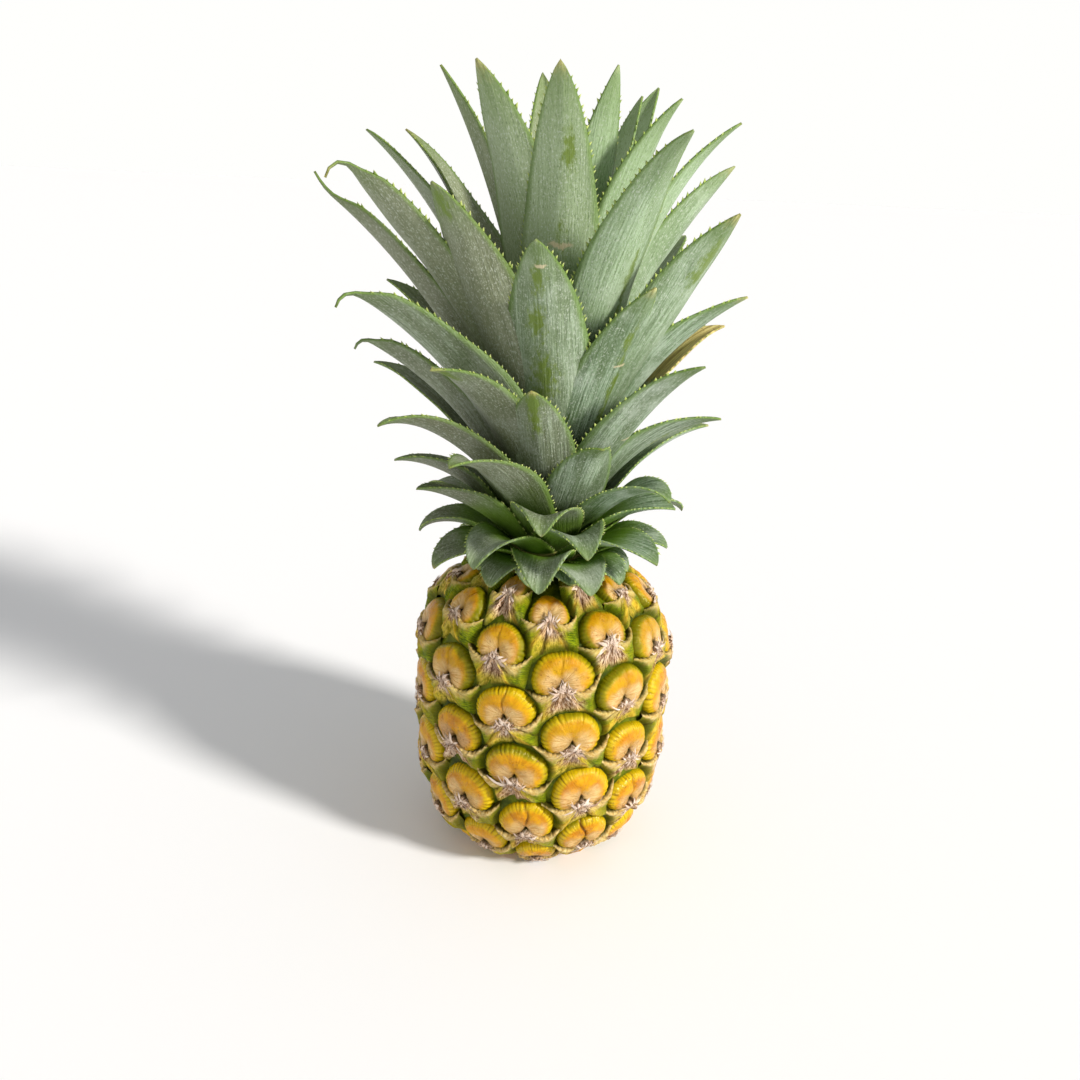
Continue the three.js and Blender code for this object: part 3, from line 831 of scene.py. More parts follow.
# %% Bend a flat blade along its rib
def blade_half(growth, u):
    half = growth["width"] / 2 * np.maximum(1 - u, 0) ** 0.85 * (0.6 + 1.5 * u) / 0.78
    if growth["thread"]:
        half = half * (1 - 0.7 * ease(u, THREAD_START - 0.05, THREAD_START + 0.03))
    return half


def bend_blade(growth, rib, u, x, thick):
    """u runs from root to tip, x from -1 to 1 across, thick is the height over the blade's middle, in mm."""
    fine_u, fine_r, fine_z, fine_lean = rib
    r = np.interp(u, fine_u, fine_r)
    z = np.interp(u, fine_u, fine_z)
    lean = np.interp(u, fine_u, fine_lean)
    half = blade_half(growth, u)
    bend = np.maximum(np.cos(lean), 0.02) / np.maximum(r, ROLL_TIGHTEST) * (1 - OPENING * ease(u, 0.15, 0.8))
    roll = np.minimum(half * bend, ROLL_LIMIT) * x
    spread = ease(r, 15, 40)
    lateral = np.sin(roll) / bend
    soft = np.sqrt(x * x + 0.05) - math.sqrt(0.05)
    wave = 0.05 * half * np.sin(u * growth["length"] / 9 + 5 * draw(growth["leaf"], 8) + x) * x * x
    lift = (1 - np.cos(roll)) / bend + (CHANNEL * spread + KEEL) * half * soft + wave
    twist = growth["twist"] * ease(u, 0.15, 0.85)
    tilted_a, tilted_b = np.cos(twist), np.sin(twist)
    # side runs along the turn, rise is the way the upper face looks
    side = lateral * tilted_a - (lift + thick) * tilted_b
    rise = lateral * tilted_b + (lift + thick) * tilted_a
    out = r - rise * np.cos(lean)
    high = z + rise * np.sin(lean)
    along_side = side + growth["sweep"] * growth["length"] * u * u
    sin, cos = math.sin(growth["turn"]), math.cos(growth["turn"])
    return np.stack([out * sin + along_side * cos, -out * cos + along_side * sin, high], axis=-1) * MM


# %% [markdown]
# ## The blades
# All the leaves share one master: a flat grid, longer than wide, which is bent along each leaf's own rib. A
# Solidify modifier then gives the sheet its thickness and puts a second material on the outer face, which on
# a pineapple is silvery where the inner face is dark green.

# %% Make the master blade, and follow the rib of every leaf
BLADE_COLUMNS = 12
BLADE_ROWS = 40
BLADE_THICKNESS = 0.9 * MM
BLADE_END = 0.9985

bpy.ops.mesh.primitive_grid_add(x_subdivisions=BLADE_COLUMNS, y_subdivisions=BLADE_ROWS, size=2)
blade_master = named("blade_master")
blade_flat = points_of(blade_master)
blade_x = np.sign(blade_flat[:, 0]) * np.abs(blade_flat[:, 0]) ** 0.85
blade_u = np.minimum(((blade_flat[:, 1] + 1) / 2) ** 0.9, BLADE_END)
ribs = [follow_rib(g) for g in leaves]
print("one blade has", len(blade_flat), "points")


# %% Mark a leaf for its paint
def leaf_marks(growth):
    """How the leaf is worn, how much olive painted shade it gets on the crown's left, and millimetres along
    and across it that no other leaf shares.
    """
    leaf = growth["leaf"]
    # painted shade: leaves turned to the crown's left, away from the key light, get more olive-grey, with a
    # random share per leaf
    left_shade_and_tone = 0.45 - 0.45 * math.sin(growth["turn"]) + 0.25 * draw(leaf, 11)
    rubbed = np.zeros(len(blade_u))
    for along, across, long, wide in RUBBED.get(leaf, []):
        rubbed += np.exp(-(((blade_u - along) / long) ** 2) - ((blade_x - across) / wide) ** 2)
    scar_u, scar_x = SCARS.get(leaf, (-1, 0))
    return {
        "along": blade_u,
        "across": blade_x,
        "along_mm": blade_u * growth["length"] + 37 * leaf,
        "across_mm": blade_x * blade_half(growth, blade_u) + 53 * leaf,
        "basal": ease(leaf, 46, 24),
        "olive_tone_and_left_shade": min(max(left_shade_and_tone, 0), 1),
        "rubbed": rubbed,
        "dried": growth["dried"],
        "youth": from_table(YOUTH, leaf),
        "scar_u": scar_u,
        "scar_x": scar_x,
    }


# %% Lay a group of leaves, and give them their thickness
def lay_leaves(name, chosen):
    places = [bend_blade(growth, ribs[growth["leaf"]], blade_u, blade_x, 0) for growth in chosen]
    piece = lay_copies(name, blade_master, places, [leaf_marks(growth) for growth in chosen])
    solidify = piece.modifiers.new("thickness", "SOLIDIFY")
    solidify.thickness = BLADE_THICKNESS
    solidify.offset = 0
    solidify.material_offset = 1
    solidify.material_offset_rim = 1
    only(piece)
    bpy.ops.object.modifier_apply(modifier="thickness")
    return piece


# %% Lay the outer leaves and the inner ones
outer_leaves = lay_leaves("crown_leaves_outer", leaves[:48])
inner_leaves = lay_leaves("crown_leaves_inner", leaves[48:])
drop(blade_master)

# %% [markdown]
# ## The teeth
# Both edges of every blade carry small hooked teeth that point to the tip. One four-sided spike is copied
# along each margin, every two or three millimetres, with its base sunk in the blade.

# %% Make the master tooth
TOOTH_PITCH = 2.9
TOOTH_REACH = 1.75
TOOTH_BASE = 2.2
SMALL_TEETH = 0.55
FIRST_TOOTH = 0.05
LAST_TOOTH = 0.975

bpy.ops.mesh.primitive_cone_add(vertices=4, radius1=1, radius2=0, depth=1)
tooth_master = named("tooth_master")
tooth_flat = points_of(tooth_master) + np.array([0, 0, 0.5])

# %% Set the teeth along both margins of every leaf
places, marks = [], []
for growth in leaves:
    rib = ribs[growth["leaf"]]
    grown = SMALL_TEETH + (1 - SMALL_TEETH) * ease(growth["length"], 40, 110)
    count = int(growth["length"] * (LAST_TOOTH - FIRST_TOOTH) / TOOTH_PITCH / grown)
    seats = FIRST_TOOTH + (LAST_TOOTH - FIRST_TOOTH) * (np.arange(count) + 0.5) / count
    for side in (-1, 1):
        shift = chance.uniform(-0.3, 0.3, count) / growth["length"] * TOOTH_PITCH
        u = np.clip(seats + shift, 0, 0.985)
        # which way the margin runs, which way is out of the blade and which way is up from it
        here = bend_blade(growth, rib, u, side, 0)
        within = bend_blade(growth, rib, u, side * 0.9, 0)
        above = bend_blade(growth, rib, u, side, 1)
        run = bend_blade(growth, rib, u + 0.01, side, 0) - here
        run /= np.linalg.norm(run, axis=1)[:, None]
        out = here - within
        out -= run * np.sum(out * run, axis=1)[:, None]
        out /= np.linalg.norm(out, axis=1)[:, None]
        over = (above - here) / MM
        size = np.minimum(1, blade_half(growth, u) / 5)
        size = size * chance.uniform(0.75, 1.15, count) * (0.5 + 0.5 * grown)
        for i in range(count):
            reach = tooth_flat[:, 2] * TOOTH_REACH * size[i]
            hook = tooth_flat[:, 2] ** 1.5 * 1.3 * size[i]
            base = tooth_flat[:, 0] * TOOTH_BASE / 2 * size[i]
            spot = here[i] + MM * (
                out[i] * (reach - 0.35)[:, None]
                + run[i] * (hook + base)[:, None]
                + over[i] * (tooth_flat[:, 1] * 0.4)[:, None]
            )
            places.append(spot)
            marks.append({"tone": chance.uniform(0, 1), "point": tooth_flat[:, 2]})
teeth = lay_copies("leaf_teeth", tooth_master, places, marks)
drop(tooth_master)

# %% [markdown]
# ## The crown's stem
# The leaves grow from a short, tapering stem. It shows only between the roots of the lowest leaves, where it
# is pale and ringed. A cylinder is cut into rings and drawn in towards its top.

# %% Make the stem
STEM_LOW = 136.6
STEM_HIGH = 196
STEM_RINGS = 24
STEM_PROFILE = [(136.6, 17), (140, 17.2), (150, 16), (161, 12), (175, 7), (188, 3), (196, 0.6)]

bpy.ops.mesh.primitive_cylinder_add(vertices=40, radius=1, depth=1, location=(0, 0, 0.5))
stem = named("crown_stem")
bpy.ops.object.transform_apply(location=True)
cut_to_lengths(stem, STEM_RINGS)
ring = points_of(stem)
ring_z = STEM_LOW + (STEM_HIGH - STEM_LOW) * ring[:, 2]
ring_r = from_table(STEM_PROFILE, ring_z) * (1 + 0.03 * np.sin(ring_z * 2.5))
stem_points = np.stack([ring[:, 0] * ring_r, ring[:, 1] * ring_r, ring_z], axis=-1) * MM
stem.data.vertices.foreach_set("co", stem_points.ravel())
only(stem)
bpy.ops.object.shade_smooth_by_angle(angle=math.radians(50))
print("stem rises from", STEM_LOW, "to", STEM_HIGH, "mm")

# %% [markdown]
# ## Materials
# Every finish is made of shader nodes that read the attributes laid down with each piece: how far a point is
# from the middle of its eye, how ripe that eye is, how far along its blade it lies. The helpers below keep
# the node trees short to write.


# %% Turn a colour as seen on screen, 0 to 255, into the linear value that shaders use
def linear(shade):
    share = shade / 255
    return ((share + 0.055) / 1.055) ** 2.4 if shade > 10 else share / 12.92


def colour(red, green, blue):
    return linear(red), linear(green), linear(blue), 1


# %% A finish: one material, with a short call for each kind of node
class Finish:
    """One material's node tree, with a short call for each kind of node."""

    def __init__(self, name, roughness):
        self.material = bpy.data.materials.new(name)
        self.material.use_nodes = True
        self.tree = self.material.node_tree
        self.shader = self.tree.nodes["Principled BSDF"]
        self.shader.inputs["Roughness"].default_value = roughness

    def link(self, source, target):
        if isinstance(source, (int, float, tuple)):
            target.default_value = source
        else:
            self.tree.links.new(source, target)

    def read(self, label):
        node = self.tree.nodes.new("ShaderNodeAttribute")
        node.attribute_name = label
        return node.outputs["Fac"]

    def math(self, operation, a, b=0.0, c=0.0):
        node = self.tree.nodes.new("ShaderNodeMath")
        node.operation = operation
        for value, socket in zip((a, b, c), node.inputs):
            self.link(value, socket)
        return node.outputs["Value"]

    def plus(self, a, b):
        return self.math("ADD", a, b)

    def minus(self, a, b):
        return self.math("SUBTRACT", a, b)

    def times(self, a, b):
        return self.math("MULTIPLY", a, b)

    def over(self, a, b):
        return self.math("DIVIDE", a, b)

    def power(self, a, b):
        return self.math("POWER", a, b)

    def unsigned(self, a):
        return self.math("ABSOLUTE", a)

    def stir(self, value, noise, amount):
        """Moves a value up and down by noise, which lies round a half, so that a border wanders."""
        return self.plus(value, self.times(self.minus(noise, 0.5), amount))

    def step(self, value, start, end, low=0.0, high=1.0):
        """Goes smoothly from low to high as value goes from start to end."""
        node = self.tree.nodes.new("ShaderNodeMapRange")
        node.interpolation_type = "SMOOTHSTEP"
        for item, socket in zip((value, start, end, low, high), node.inputs):
            self.link(item, socket)
        return node.outputs["Result"]

    def point(self, x, y, z=0.0):
        node = self.tree.nodes.new("ShaderNodeCombineXYZ")
        for value, socket in zip((x, y, z), node.inputs):
            self.link(value, socket)
        return node.outputs[0]

    def place(self):
        return self.tree.nodes.new("ShaderNodeTexCoord").outputs["Object"]

    def noise(self, where, scale, detail=3.0, roughness=0.55):
        node = self.tree.nodes.new("ShaderNodeTexNoise")
        self.link(where, node.inputs["Vector"])
        node.inputs["Scale"].default_value = scale
        node.inputs["Detail"].default_value = detail
        node.inputs["Roughness"].default_value = roughness
        return node.outputs["Fac"]

    def mix(self, amount, first, second):
        node = self.tree.nodes.new("ShaderNodeMix")
        node.data_type = "RGBA"
        self.link(amount, node.inputs["Factor"])
        self.link(first, node.inputs["A"])
        self.link(second, node.inputs["B"])
        return node.outputs["Result"]

    def coat(self, under, over, value, start, end, most=1.0):
        """Lays one colour over another: not at all where value is at start, and most where it is at end."""
        return self.mix(self.step(value, start, end, 0.0, most), under, over)

    def bump(self, height, distance, strength=1.0):
        node = self.tree.nodes.new("ShaderNodeBump")
        node.inputs["Distance"].default_value = distance
        node.inputs["Strength"].default_value = strength
        self.link(height, node.inputs["Height"])
        self.link(node.outputs["Normal"], self.shader.inputs["Normal"])

    def paint(self, source):
        self.link(source, self.shader.inputs["Base Color"])

    def set_roughness(self, source):
        self.link(source, self.shader.inputs["Roughness"])

    def shine(self, amount, tint=(1, 1, 1, 1)):
        self.shader.inputs["Specular IOR Level"].default_value = amount
        self.shader.inputs["Specular Tint"].default_value = tint


# %% [markdown]
# ## The shield's finish
# A ripe shield is tan and faintly fibrous in its middle, golden orange over the dome, yellow on the scallops
# with painted shade between them and a painted highlight on their crests, and green where it dips into the
# groove, with painted shade at its foot and in its mouth, creases and notch. Its wax makes it glossy. The
# fibres run out from the notch, so their colour is noise read by turn and distance from there, stretched
# along the distance.


# %% How far a point is from the pale middle of the nearer lobe, in units of the lobe's size
LOBE_ACROSS = 4.6
LOBE_CLIMB = -1.9
LOBE_SIZE = 5.6


def lobe_distance(f, spokes, blotch):
    across, climb = f.read("eye_across"), f.read("eye_climb")
    sideways = f.power(f.over(f.minus(f.unsigned(across), LOBE_ACROSS), LOBE_SIZE), 2.0)
    upward = f.power(f.over(f.minus(climb, LOBE_CLIMB), LOBE_SIZE), 2.0)
    distance = f.power(f.plus(sideways, upward), 0.5)
    # the spokes and blotches fray the pale part's edge
    return f.stir(f.stir(distance, spokes, 0.9), blotch, 1.6)


# %% The gold of the dome, and the pale tan of the lobes
def shield_gold(f, spokes, blotch, broad):
    gold = f.coat(colour(190, 120, 2), colour(226, 166, 6), blotch, 0.35, 0.65)
    gold = f.coat(gold, colour(210, 164, 8), f.read("tone"), 0.3, 1.0, 0.6)
    gold = f.coat(gold, colour(168, 138, 6), f.read("green"), 0.35, 1.0, 0.6)
    gold = f.coat(gold, colour(168, 96, 4), spokes, 0.5, 0.75, 0.45)
    return f.coat(gold, colour(196, 112, 4), broad, 0.5, 0.68, 0.5)


def shield_pale(f, spokes):
    pale = f.coat(colour(196, 144, 70), colour(238, 208, 150), spokes, 0.36, 0.62)
    return f.coat(pale, colour(176, 128, 92), f.read("dry"), 0.5, 1.0, 0.45)


# %% Paint the shields
def shield_finish():
    f = Finish("shield_rind", 0.34)
    share, scallop = f.read("share"), f.read("scallop")
    tone, green, dry = f.read("tone"), f.read("green"), f.read("dry")
    turn = f.math("ARCTAN2", f.read("eye_across"), f.minus(f.read("eye_climb"), MOUTH_CLIMB))
    where = f.point(f.times(turn, 12.0), f.times(share, 1.6), f.times(tone, 40.0))
    spokes = f.noise(where, 1.5, 5, 0.65)
    blotch = f.noise(f.place(), 150, 4)
    broad = f.noise(f.place(), 55, 3)
    fine = f.noise(f.place(), 800, 3)
    body = shield_gold(f, spokes, blotch, broad)
    lobe = lobe_distance(f, spokes, blotch)
    body = f.mix(f.step(lobe, 1.2, 0.45, 0.0, 0.9), body, shield_pale(f, spokes))
    # the scalloped rim, with painted shade in the valleys between the scallops and a painted highlight
    # on their crests, and the green that creeps in from the groove
    rim = f.coat(colour(144, 118, 2), colour(218, 190, 16), scallop, 0.2, 0.85)
    rim = f.coat(rim, colour(150, 150, 8), green, 0.25, 0.8, 0.6)
    body = f.mix(f.step(f.plus(share, f.times(broad, 0.2)), 0.8, 0.98, 0.0, 0.85), body, rim)
    leafy = f.mix(blotch, colour(76, 84, 2), colour(132, 130, 8))
    start = f.step(green, 0.0, 1.0, 0.97, 0.62)
    wander = f.stir(share, broad, 0.6)
    body = f.mix(f.step(wander, start, f.plus(start, 0.22), 0.0, 0.85), body, leafy)
    # the groove's dark green at the shield's foot, deepened with painted shade where it meets the groove
    body = f.coat(body, colour(98, 110, 4), share, 0.97, 1.04)
    brown = f.times(f.step(fine, 0.56, 0.72, 0.0, 0.7), f.step(dry, 0.2, 0.9, 0.3, 1.0))
    body = f.mix(brown, body, colour(126, 74, 20))
    # painted shade in the mouth, the creases and the notch
    f.paint(f.mix(f.times(f.read("recess_shade"), 0.8), body, colour(88, 46, 18)))
    f.set_roughness(f.minus(f.step(blotch, 0.35, 0.7, 0.24, 0.42), f.step(share, 0.7, 0.9, 0.0, 0.13)))
    ripple = f.plus(spokes, f.times(fine, 0.35))
    f.bump(f.plus(ripple, f.times(blotch, 1.2)), 0.5 * MM, 0.9)
    f.shine(0.4, (1.0, 0.86, 0.5, 1))
    f.shader.inputs["Subsurface Weight"].default_value = 0.06
    f.shader.inputs["Subsurface Scale"].default_value = 3 * MM
    return f.material


shield_rind = shield_finish()

# %% [markdown]
# ## The bract's finish
# The wings are straw yellow along their crest, the skirt's flanks are green with fine pleats, and two yellow
# ridges run down it. Between them everything is dried up: lilac-grey and brown fibres, with painted shade in
# the gaps between them. These strands fan out from the notch, so they are noise by turn and distance again.
# The last millimetres before the next shield sink into the groove and take its dark green, deepened with
# painted shade. The valleys of the folds and the back of the wings, under the shield, get painted shade too.


# %% The living skin: straw wings, green pleated flanks and two yellow ridges
def bract_pleats(f):
    across, climb, tone = f.read("eye_across"), f.read("eye_climb"), f.read("tone")
    where = f.point(f.times(across, 0.3), f.times(climb, 2.6), f.times(tone, 30.0))
    return f.noise(where, 1.3, 4)


def bract_living(f, strand, pleat, blotch, broad):
    down, green, out = f.read("down"), f.read("green"), f.unsigned(f.read("eye_across"))
    leafy = f.coat(colour(60, 88, 2), colour(154, 170, 12), pleat, 0.36, 0.64)
    leafy = f.coat(leafy, colour(188, 174, 28), blotch, 0.45, 0.7, 0.6)
    leafy = f.coat(leafy, colour(176, 150, 30), green, 0.4, 0.0, 0.5)
    sunny = f.coat(colour(150, 136, 6), colour(244, 214, 60), strand, 0.38, 0.6)
    leafy = f.coat(leafy, sunny, out, 11.0, 4.0, 0.75)
    straw = f.coat(colour(206, 160, 72), colour(252, 230, 164), strand, 0.3, 0.7)
    straw = f.coat(straw, colour(136, 90, 52), strand, 0.42, 0.32, 0.6)
    straw = f.coat(straw, colour(196, 184, 60), green, 0.4, 0.9, 0.4)
    edge = f.stir(f.stir(down, strand, 0.4), broad, 0.5)
    body = f.coat(straw, leafy, edge, 0.06, 0.34)
    body = f.mix(f.times(f.step(out, 10.0, 14.5, 0.0, 0.9), f.step(down, 0.02, 0.16)), body, leafy)
    # the two ridges, as bands either side of the middle that drift outward on their way down
    drift = f.math("MULTIPLY_ADD", f.plus(f.read("eye_climb"), 6.5), -0.85, 0.6)
    band = f.unsigned(f.minus(out, drift))
    ridge = f.times(f.step(band, 2.4, 0.5), f.step(down, 0.1, 0.3))
    yellow = f.coat(colour(208, 156, 14), colour(246, 214, 70), strand, 0.36, 0.6)
    return f.mix(f.times(ridge, 0.9), body, yellow)


# %% The dried heart: its fibres, and where it shows
def bract_husk(f, strand, broad):
    husk = f.coat(colour(108, 68, 40), colour(188, 146, 112), strand, 0.38, 0.52)
    husk = f.coat(husk, colour(248, 224, 198), strand, 0.47, 0.58)
    husk = f.coat(husk, colour(192, 142, 70), broad, 0.48, 0.72, 0.5)
    # painted shade in the gaps between the strands
    return f.coat(husk, colour(44, 26, 12), strand, 0.43, 0.36)


def bract_heart(f, strand, blotch):
    """1 where the bract has dried, 0 where it lives. Both its sides and its lower end are frayed."""
    dry = f.read("dry")
    width = f.plus(0.3, f.times(dry, 0.4))
    fray = f.stir(f.stir(f.unsigned(f.read("fan_turn")), blotch, 1.1), strand, 0.9)
    near = f.stir(f.read("fan_reach"), strand, 9.0)
    ends = f.math("MULTIPLY_ADD", dry, 11.0, 8.5)
    sides = f.step(fray, f.plus(width, 0.3), width)
    heart = f.times(sides, f.step(near, ends, f.times(ends, 0.6), 0.12, 1.0))
    return f.math("MAXIMUM", heart, f.step(near, 6.5, 4.5))


# %% Paint the bracts
def bract_finish():
    f = Finish("bract_skin", 0.5)
    blotch = f.noise(f.place(), 150, 4)
    broad = f.noise(f.place(), 70, 3)
    fine = f.noise(f.place(), 1100, 3)
    turn, reach, tone = f.read("fan_turn"), f.read("fan_reach"), f.read("tone")
    where = f.point(f.times(turn, 13.0), f.times(reach, 0.3), f.times(tone, 40.0))
    strand = f.noise(where, 1.4, 6, 0.72)
    pleat = bract_pleats(f)
    heart = bract_heart(f, strand, blotch)
    body = f.mix(heart, bract_living(f, strand, pleat, blotch, broad), bract_husk(f, strand, broad))
    # the groove's dark green, deepened with painted shade where the skirt sinks between the eyes
    groove_green_and_shade = f.mix(blotch, colour(42, 56, 2), colour(104, 112, 4))
    body = f.coat(body, groove_green_and_shade, f.read("gap"), 3.8, 0.8, 0.9)
    # painted shade in the valleys of the folds
    body = f.coat(body, colour(52, 34, 10), f.read("fold"), -0.3, -0.95, 0.6)
    # painted shade on the back of the wings, tucked under the shield
    f.paint(f.coat(body, colour(66, 62, 12), f.read("behind"), 0.2, 0.6))
    f.set_roughness(f.step(heart, 0.0, 1.0, 0.38, 0.8))
    threads = f.plus(f.times(strand, 1.2), f.times(pleat, 0.5))
    f.bump(f.plus(threads, f.times(fine, 0.2)), 0.9 * MM, 1.0)
    f.shine(0.22, (1.0, 0.88, 0.5, 1))
    return f.material


bract_skin = bract_finish()


# %% Paint the dry scales and fibres
def husk_finish():
    f = Finish("dry_husk", 0.85)
    tone, pale, length = f.read("tone"), f.read("pale"), f.read("length")
    veins = f.noise(f.point(f.times(f.read("rib"), 2.4), f.times(length, 0.8), f.times(tone, 50.0)), 1.6, 4)
    husk = f.coat(colour(104, 62, 38), colour(250, 232, 216), pale, 0.05, 0.75)
    husk = f.mix(f.times(tone, 0.45), husk, colour(210, 170, 136))
    husk = f.coat(husk, colour(120, 82, 58), veins, 0.54, 0.7, 0.6)
    f.paint(f.coat(husk, colour(128, 84, 52), length, 0.75, 1.0, 0.3))
    f.bump(f.plus(veins, f.times(f.noise(f.place(), 1500, 2), 0.4)), 0.3 * MM, 0.8)
    f.shine(0.25)
    return f.material


dry_husk = husk_finish()

# %% [markdown]
# ## The rind's finish
# In the grooves the rind is dark green with lighter blotches. On the flat underside, where it was cut, it has
# dried to tan. The cut stalk is straw-coloured, with fine dots and rings, and dark round its edge.


# %% Paint the rind between the eyes
def rind_finish():
    f = Finish("groove_rind", 0.55)
    blotch = f.noise(f.place(), 120, 5)
    fine = f.noise(f.place(), 700, 3)
    split = f.tree.nodes.new("ShaderNodeSeparateXYZ")
    f.link(f.place(), split.inputs[0])
    body = f.coat(colour(44, 58, 2), colour(104, 114, 6), blotch, 0.35, 0.68)
    body = f.coat(body, colour(140, 130, 20), fine, 0.55, 0.8, 0.5)
    body = f.coat(body, colour(150, 118, 66), split.outputs[2], 3.5 * MM, 0.5 * MM)
    f.paint(body)
    f.bump(f.plus(blotch, f.times(fine, 0.4)), 0.8 * MM, 0.8)
    f.shine(0.15)
    return f.material


def stalk_finish():
    f = Finish("cut_stalk", 0.85)
    split = f.tree.nodes.new("ShaderNodeSeparateXYZ")
    f.link(f.place(), split.inputs[0])
    distance = f.power(f.plus(f.power(split.outputs[0], 2.0), f.power(split.outputs[1], 2.0)), 0.5)
    dots = f.noise(f.place(), 1400, 2)
    rings = f.noise(f.point(f.times(distance, 900.0), 0.0), 1.0, 3)
    body = f.mix(dots, colour(136, 104, 62), colour(204, 182, 132))
    body = f.coat(body, colour(116, 86, 52), rings, 0.4, 0.7, 0.5)
    f.paint(f.coat(body, colour(84, 62, 36), distance, 10.5 * MM, 12.5 * MM))
    f.bump(f.plus(dots, rings), 0.3 * MM, 0.8)
    return f.material


groove_rind = rind_finish()
cut_stalk = stalk_finish()

# %% [markdown]
# ## The leaves' finish
# The outer face wears a silvery bloom over its green, ruled with fine lines from root to tip. Where the bloom
# has rubbed off, the leaf shows a plainer green. The inner face is darker and has less bloom. Both turn
# yellow-green at the margin. At the root they are dark olive, or bright green on the lowest leaves, and some
# tips have dried to straw.


# %% The patterns on a blade, by millimetres along and across it or by place
def leaf_patterns(f):
    across_mm, along_mm = f.read("across_mm"), f.read("along_mm")
    return {
        "lines": f.noise(f.point(f.times(across_mm, 0.9), f.times(along_mm, 0.03)), 1.5, 4, 0.6),
        "dashes": f.noise(f.point(f.times(across_mm, 1.3), f.times(along_mm, 0.35)), 1.5, 3, 0.6),
        "broad": f.noise(f.point(f.times(across_mm, 0.16), f.times(along_mm, 0.03)), 1.0, 3),
        "fray": f.noise(f.point(f.times(across_mm, 0.5), f.times(along_mm, 0.2)), 1.0, 8, 0.75),
        "speckle": f.noise(f.place(), 1300, 2),
        "cloud": f.noise(f.place(), 45, 4),
    }


# %% The outer face: silvery bloom, younger on some leaves, painted olive shade on the crown's left, and rubbed through in places
def outer_skin(f, lines, dashes, broad, fray, speckle, cloud):
    youth, olive_tone_and_left_shade = f.read("youth"), f.read("olive_tone_and_left_shade")
    body = f.coat(colour(80, 102, 74), colour(172, 195, 168), lines, 0.32, 0.68)
    body = f.coat(body, colour(80, 106, 66), broad, 0.42, 0.6, 0.75)
    body = f.coat(body, colour(190, 204, 188), cloud, 0.5, 0.7, 0.7)
    body = f.mix(f.times(youth, 0.75), body, f.mix(lines, colour(154, 184, 132), colour(198, 224, 176)))
    # painted shade: olive-grey on the leaves on the crown's left, which face away from the key light
    body = f.mix(f.times(olive_tone_and_left_shade, 0.75), body, f.mix(lines, colour(90, 90, 66), colour(138, 134, 112)))
    body = f.coat(body, colour(214, 224, 208), dashes, 0.54, 0.7, 0.5)
    body = f.coat(body, colour(216, 222, 210), speckle, 0.56, 0.72, 0.45)
    body = f.coat(body, colour(88, 108, 70), dashes, 0.45, 0.3, 0.6)
    worn = f.step(f.stir(f.read("rubbed"), fray, 2.6), 0.4, 0.9)
    worn = f.math("MAXIMUM", worn, f.step(fray, 0.68, 0.78, 0.0, 0.7))
    body = f.mix(f.times(worn, 0.85), body, f.mix(lines, colour(88, 112, 22), colour(124, 146, 52)))
    return f.coat(body, colour(104, 130, 62), f.read("along"), 0.8, 0.98, 0.55)


# %% The inner face: dark green, with a little bloom on the leaves at the crown's foot
def inner_skin(f, lines, fray, speckle, cloud):
    body = f.coat(colour(26, 40, 8), colour(58, 82, 20), lines, 0.3, 0.7)
    body = f.coat(body, colour(80, 104, 34), cloud, 0.4, 0.7, 0.5)
    bloom = f.coat(colour(60, 74, 34), colour(206, 210, 190), speckle, 0.46, 0.58)
    most = f.math("MULTIPLY_ADD", f.read("basal"), 0.5, 0.15)
    bloomy = f.times(f.step(f.stir(cloud, fray, 0.8), 0.42, 0.62), most)
    return f.mix(bloomy, body, bloom)


# %% The ends and margins, the same on both faces
SCRATCH_ALONG = 0.007
SCRATCH_ACROSS = 0.34


def leaf_margins(f, body, root_colour, fray, cloud):
    along, basal = f.read("along"), f.read("basal")
    rooted = f.minus(along, f.times(basal, 0.3))
    root = f.step(f.stir(rooted, cloud, 0.3), 0.46, 0.1)
    body = f.mix(f.times(root, 0.85), body, root_colour)
    rim = f.stir(f.unsigned(f.read("across")), fray, 0.12)
    edge = f.times(f.step(rim, 0.8, 0.97), f.step(basal, 0.2, 1.0, 0.65, 0.4))
    return f.mix(edge, body, colour(98, 130, 44))


def leaf_dried(f, body, lines, dashes, fray, cloud):
    """Tips that have dried to straw, with a ragged edge to the green."""
    dried = f.read("dried")
    ragged = f.times(f.minus(fray, 0.5), f.math("MULTIPLY_ADD", dried, 0.9, 0.1))
    dead = f.plus(f.plus(f.read("along"), dried), ragged)
    straw = f.coat(colour(156, 134, 74), colour(226, 210, 140), lines, 0.35, 0.65)
    straw = f.coat(straw, colour(160, 160, 84), cloud, 0.45, 0.65, 0.6)
    straw = f.coat(straw, colour(108, 78, 44), dashes, 0.42, 0.3, 0.7)
    return f.coat(body, straw, dead, 0.97, 1.08)


def leaf_scratched(f, body, fray):
    """A healed scratch across the leaf, pale and uneven, sized in shares of its length and half width."""
    along = f.over(f.minus(f.read("along"), f.read("scar_u")), SCRATCH_ALONG)
    along = f.stir(along, fray, 6.0)
    across = f.over(f.minus(f.read("across"), f.read("scar_x")), SCRATCH_ACROSS)
    distance = f.plus(f.power(along, 2.0), f.power(across, 2.0))
    return f.coat(body, colour(214, 200, 164), distance, 1.2, 0.4, 0.8)


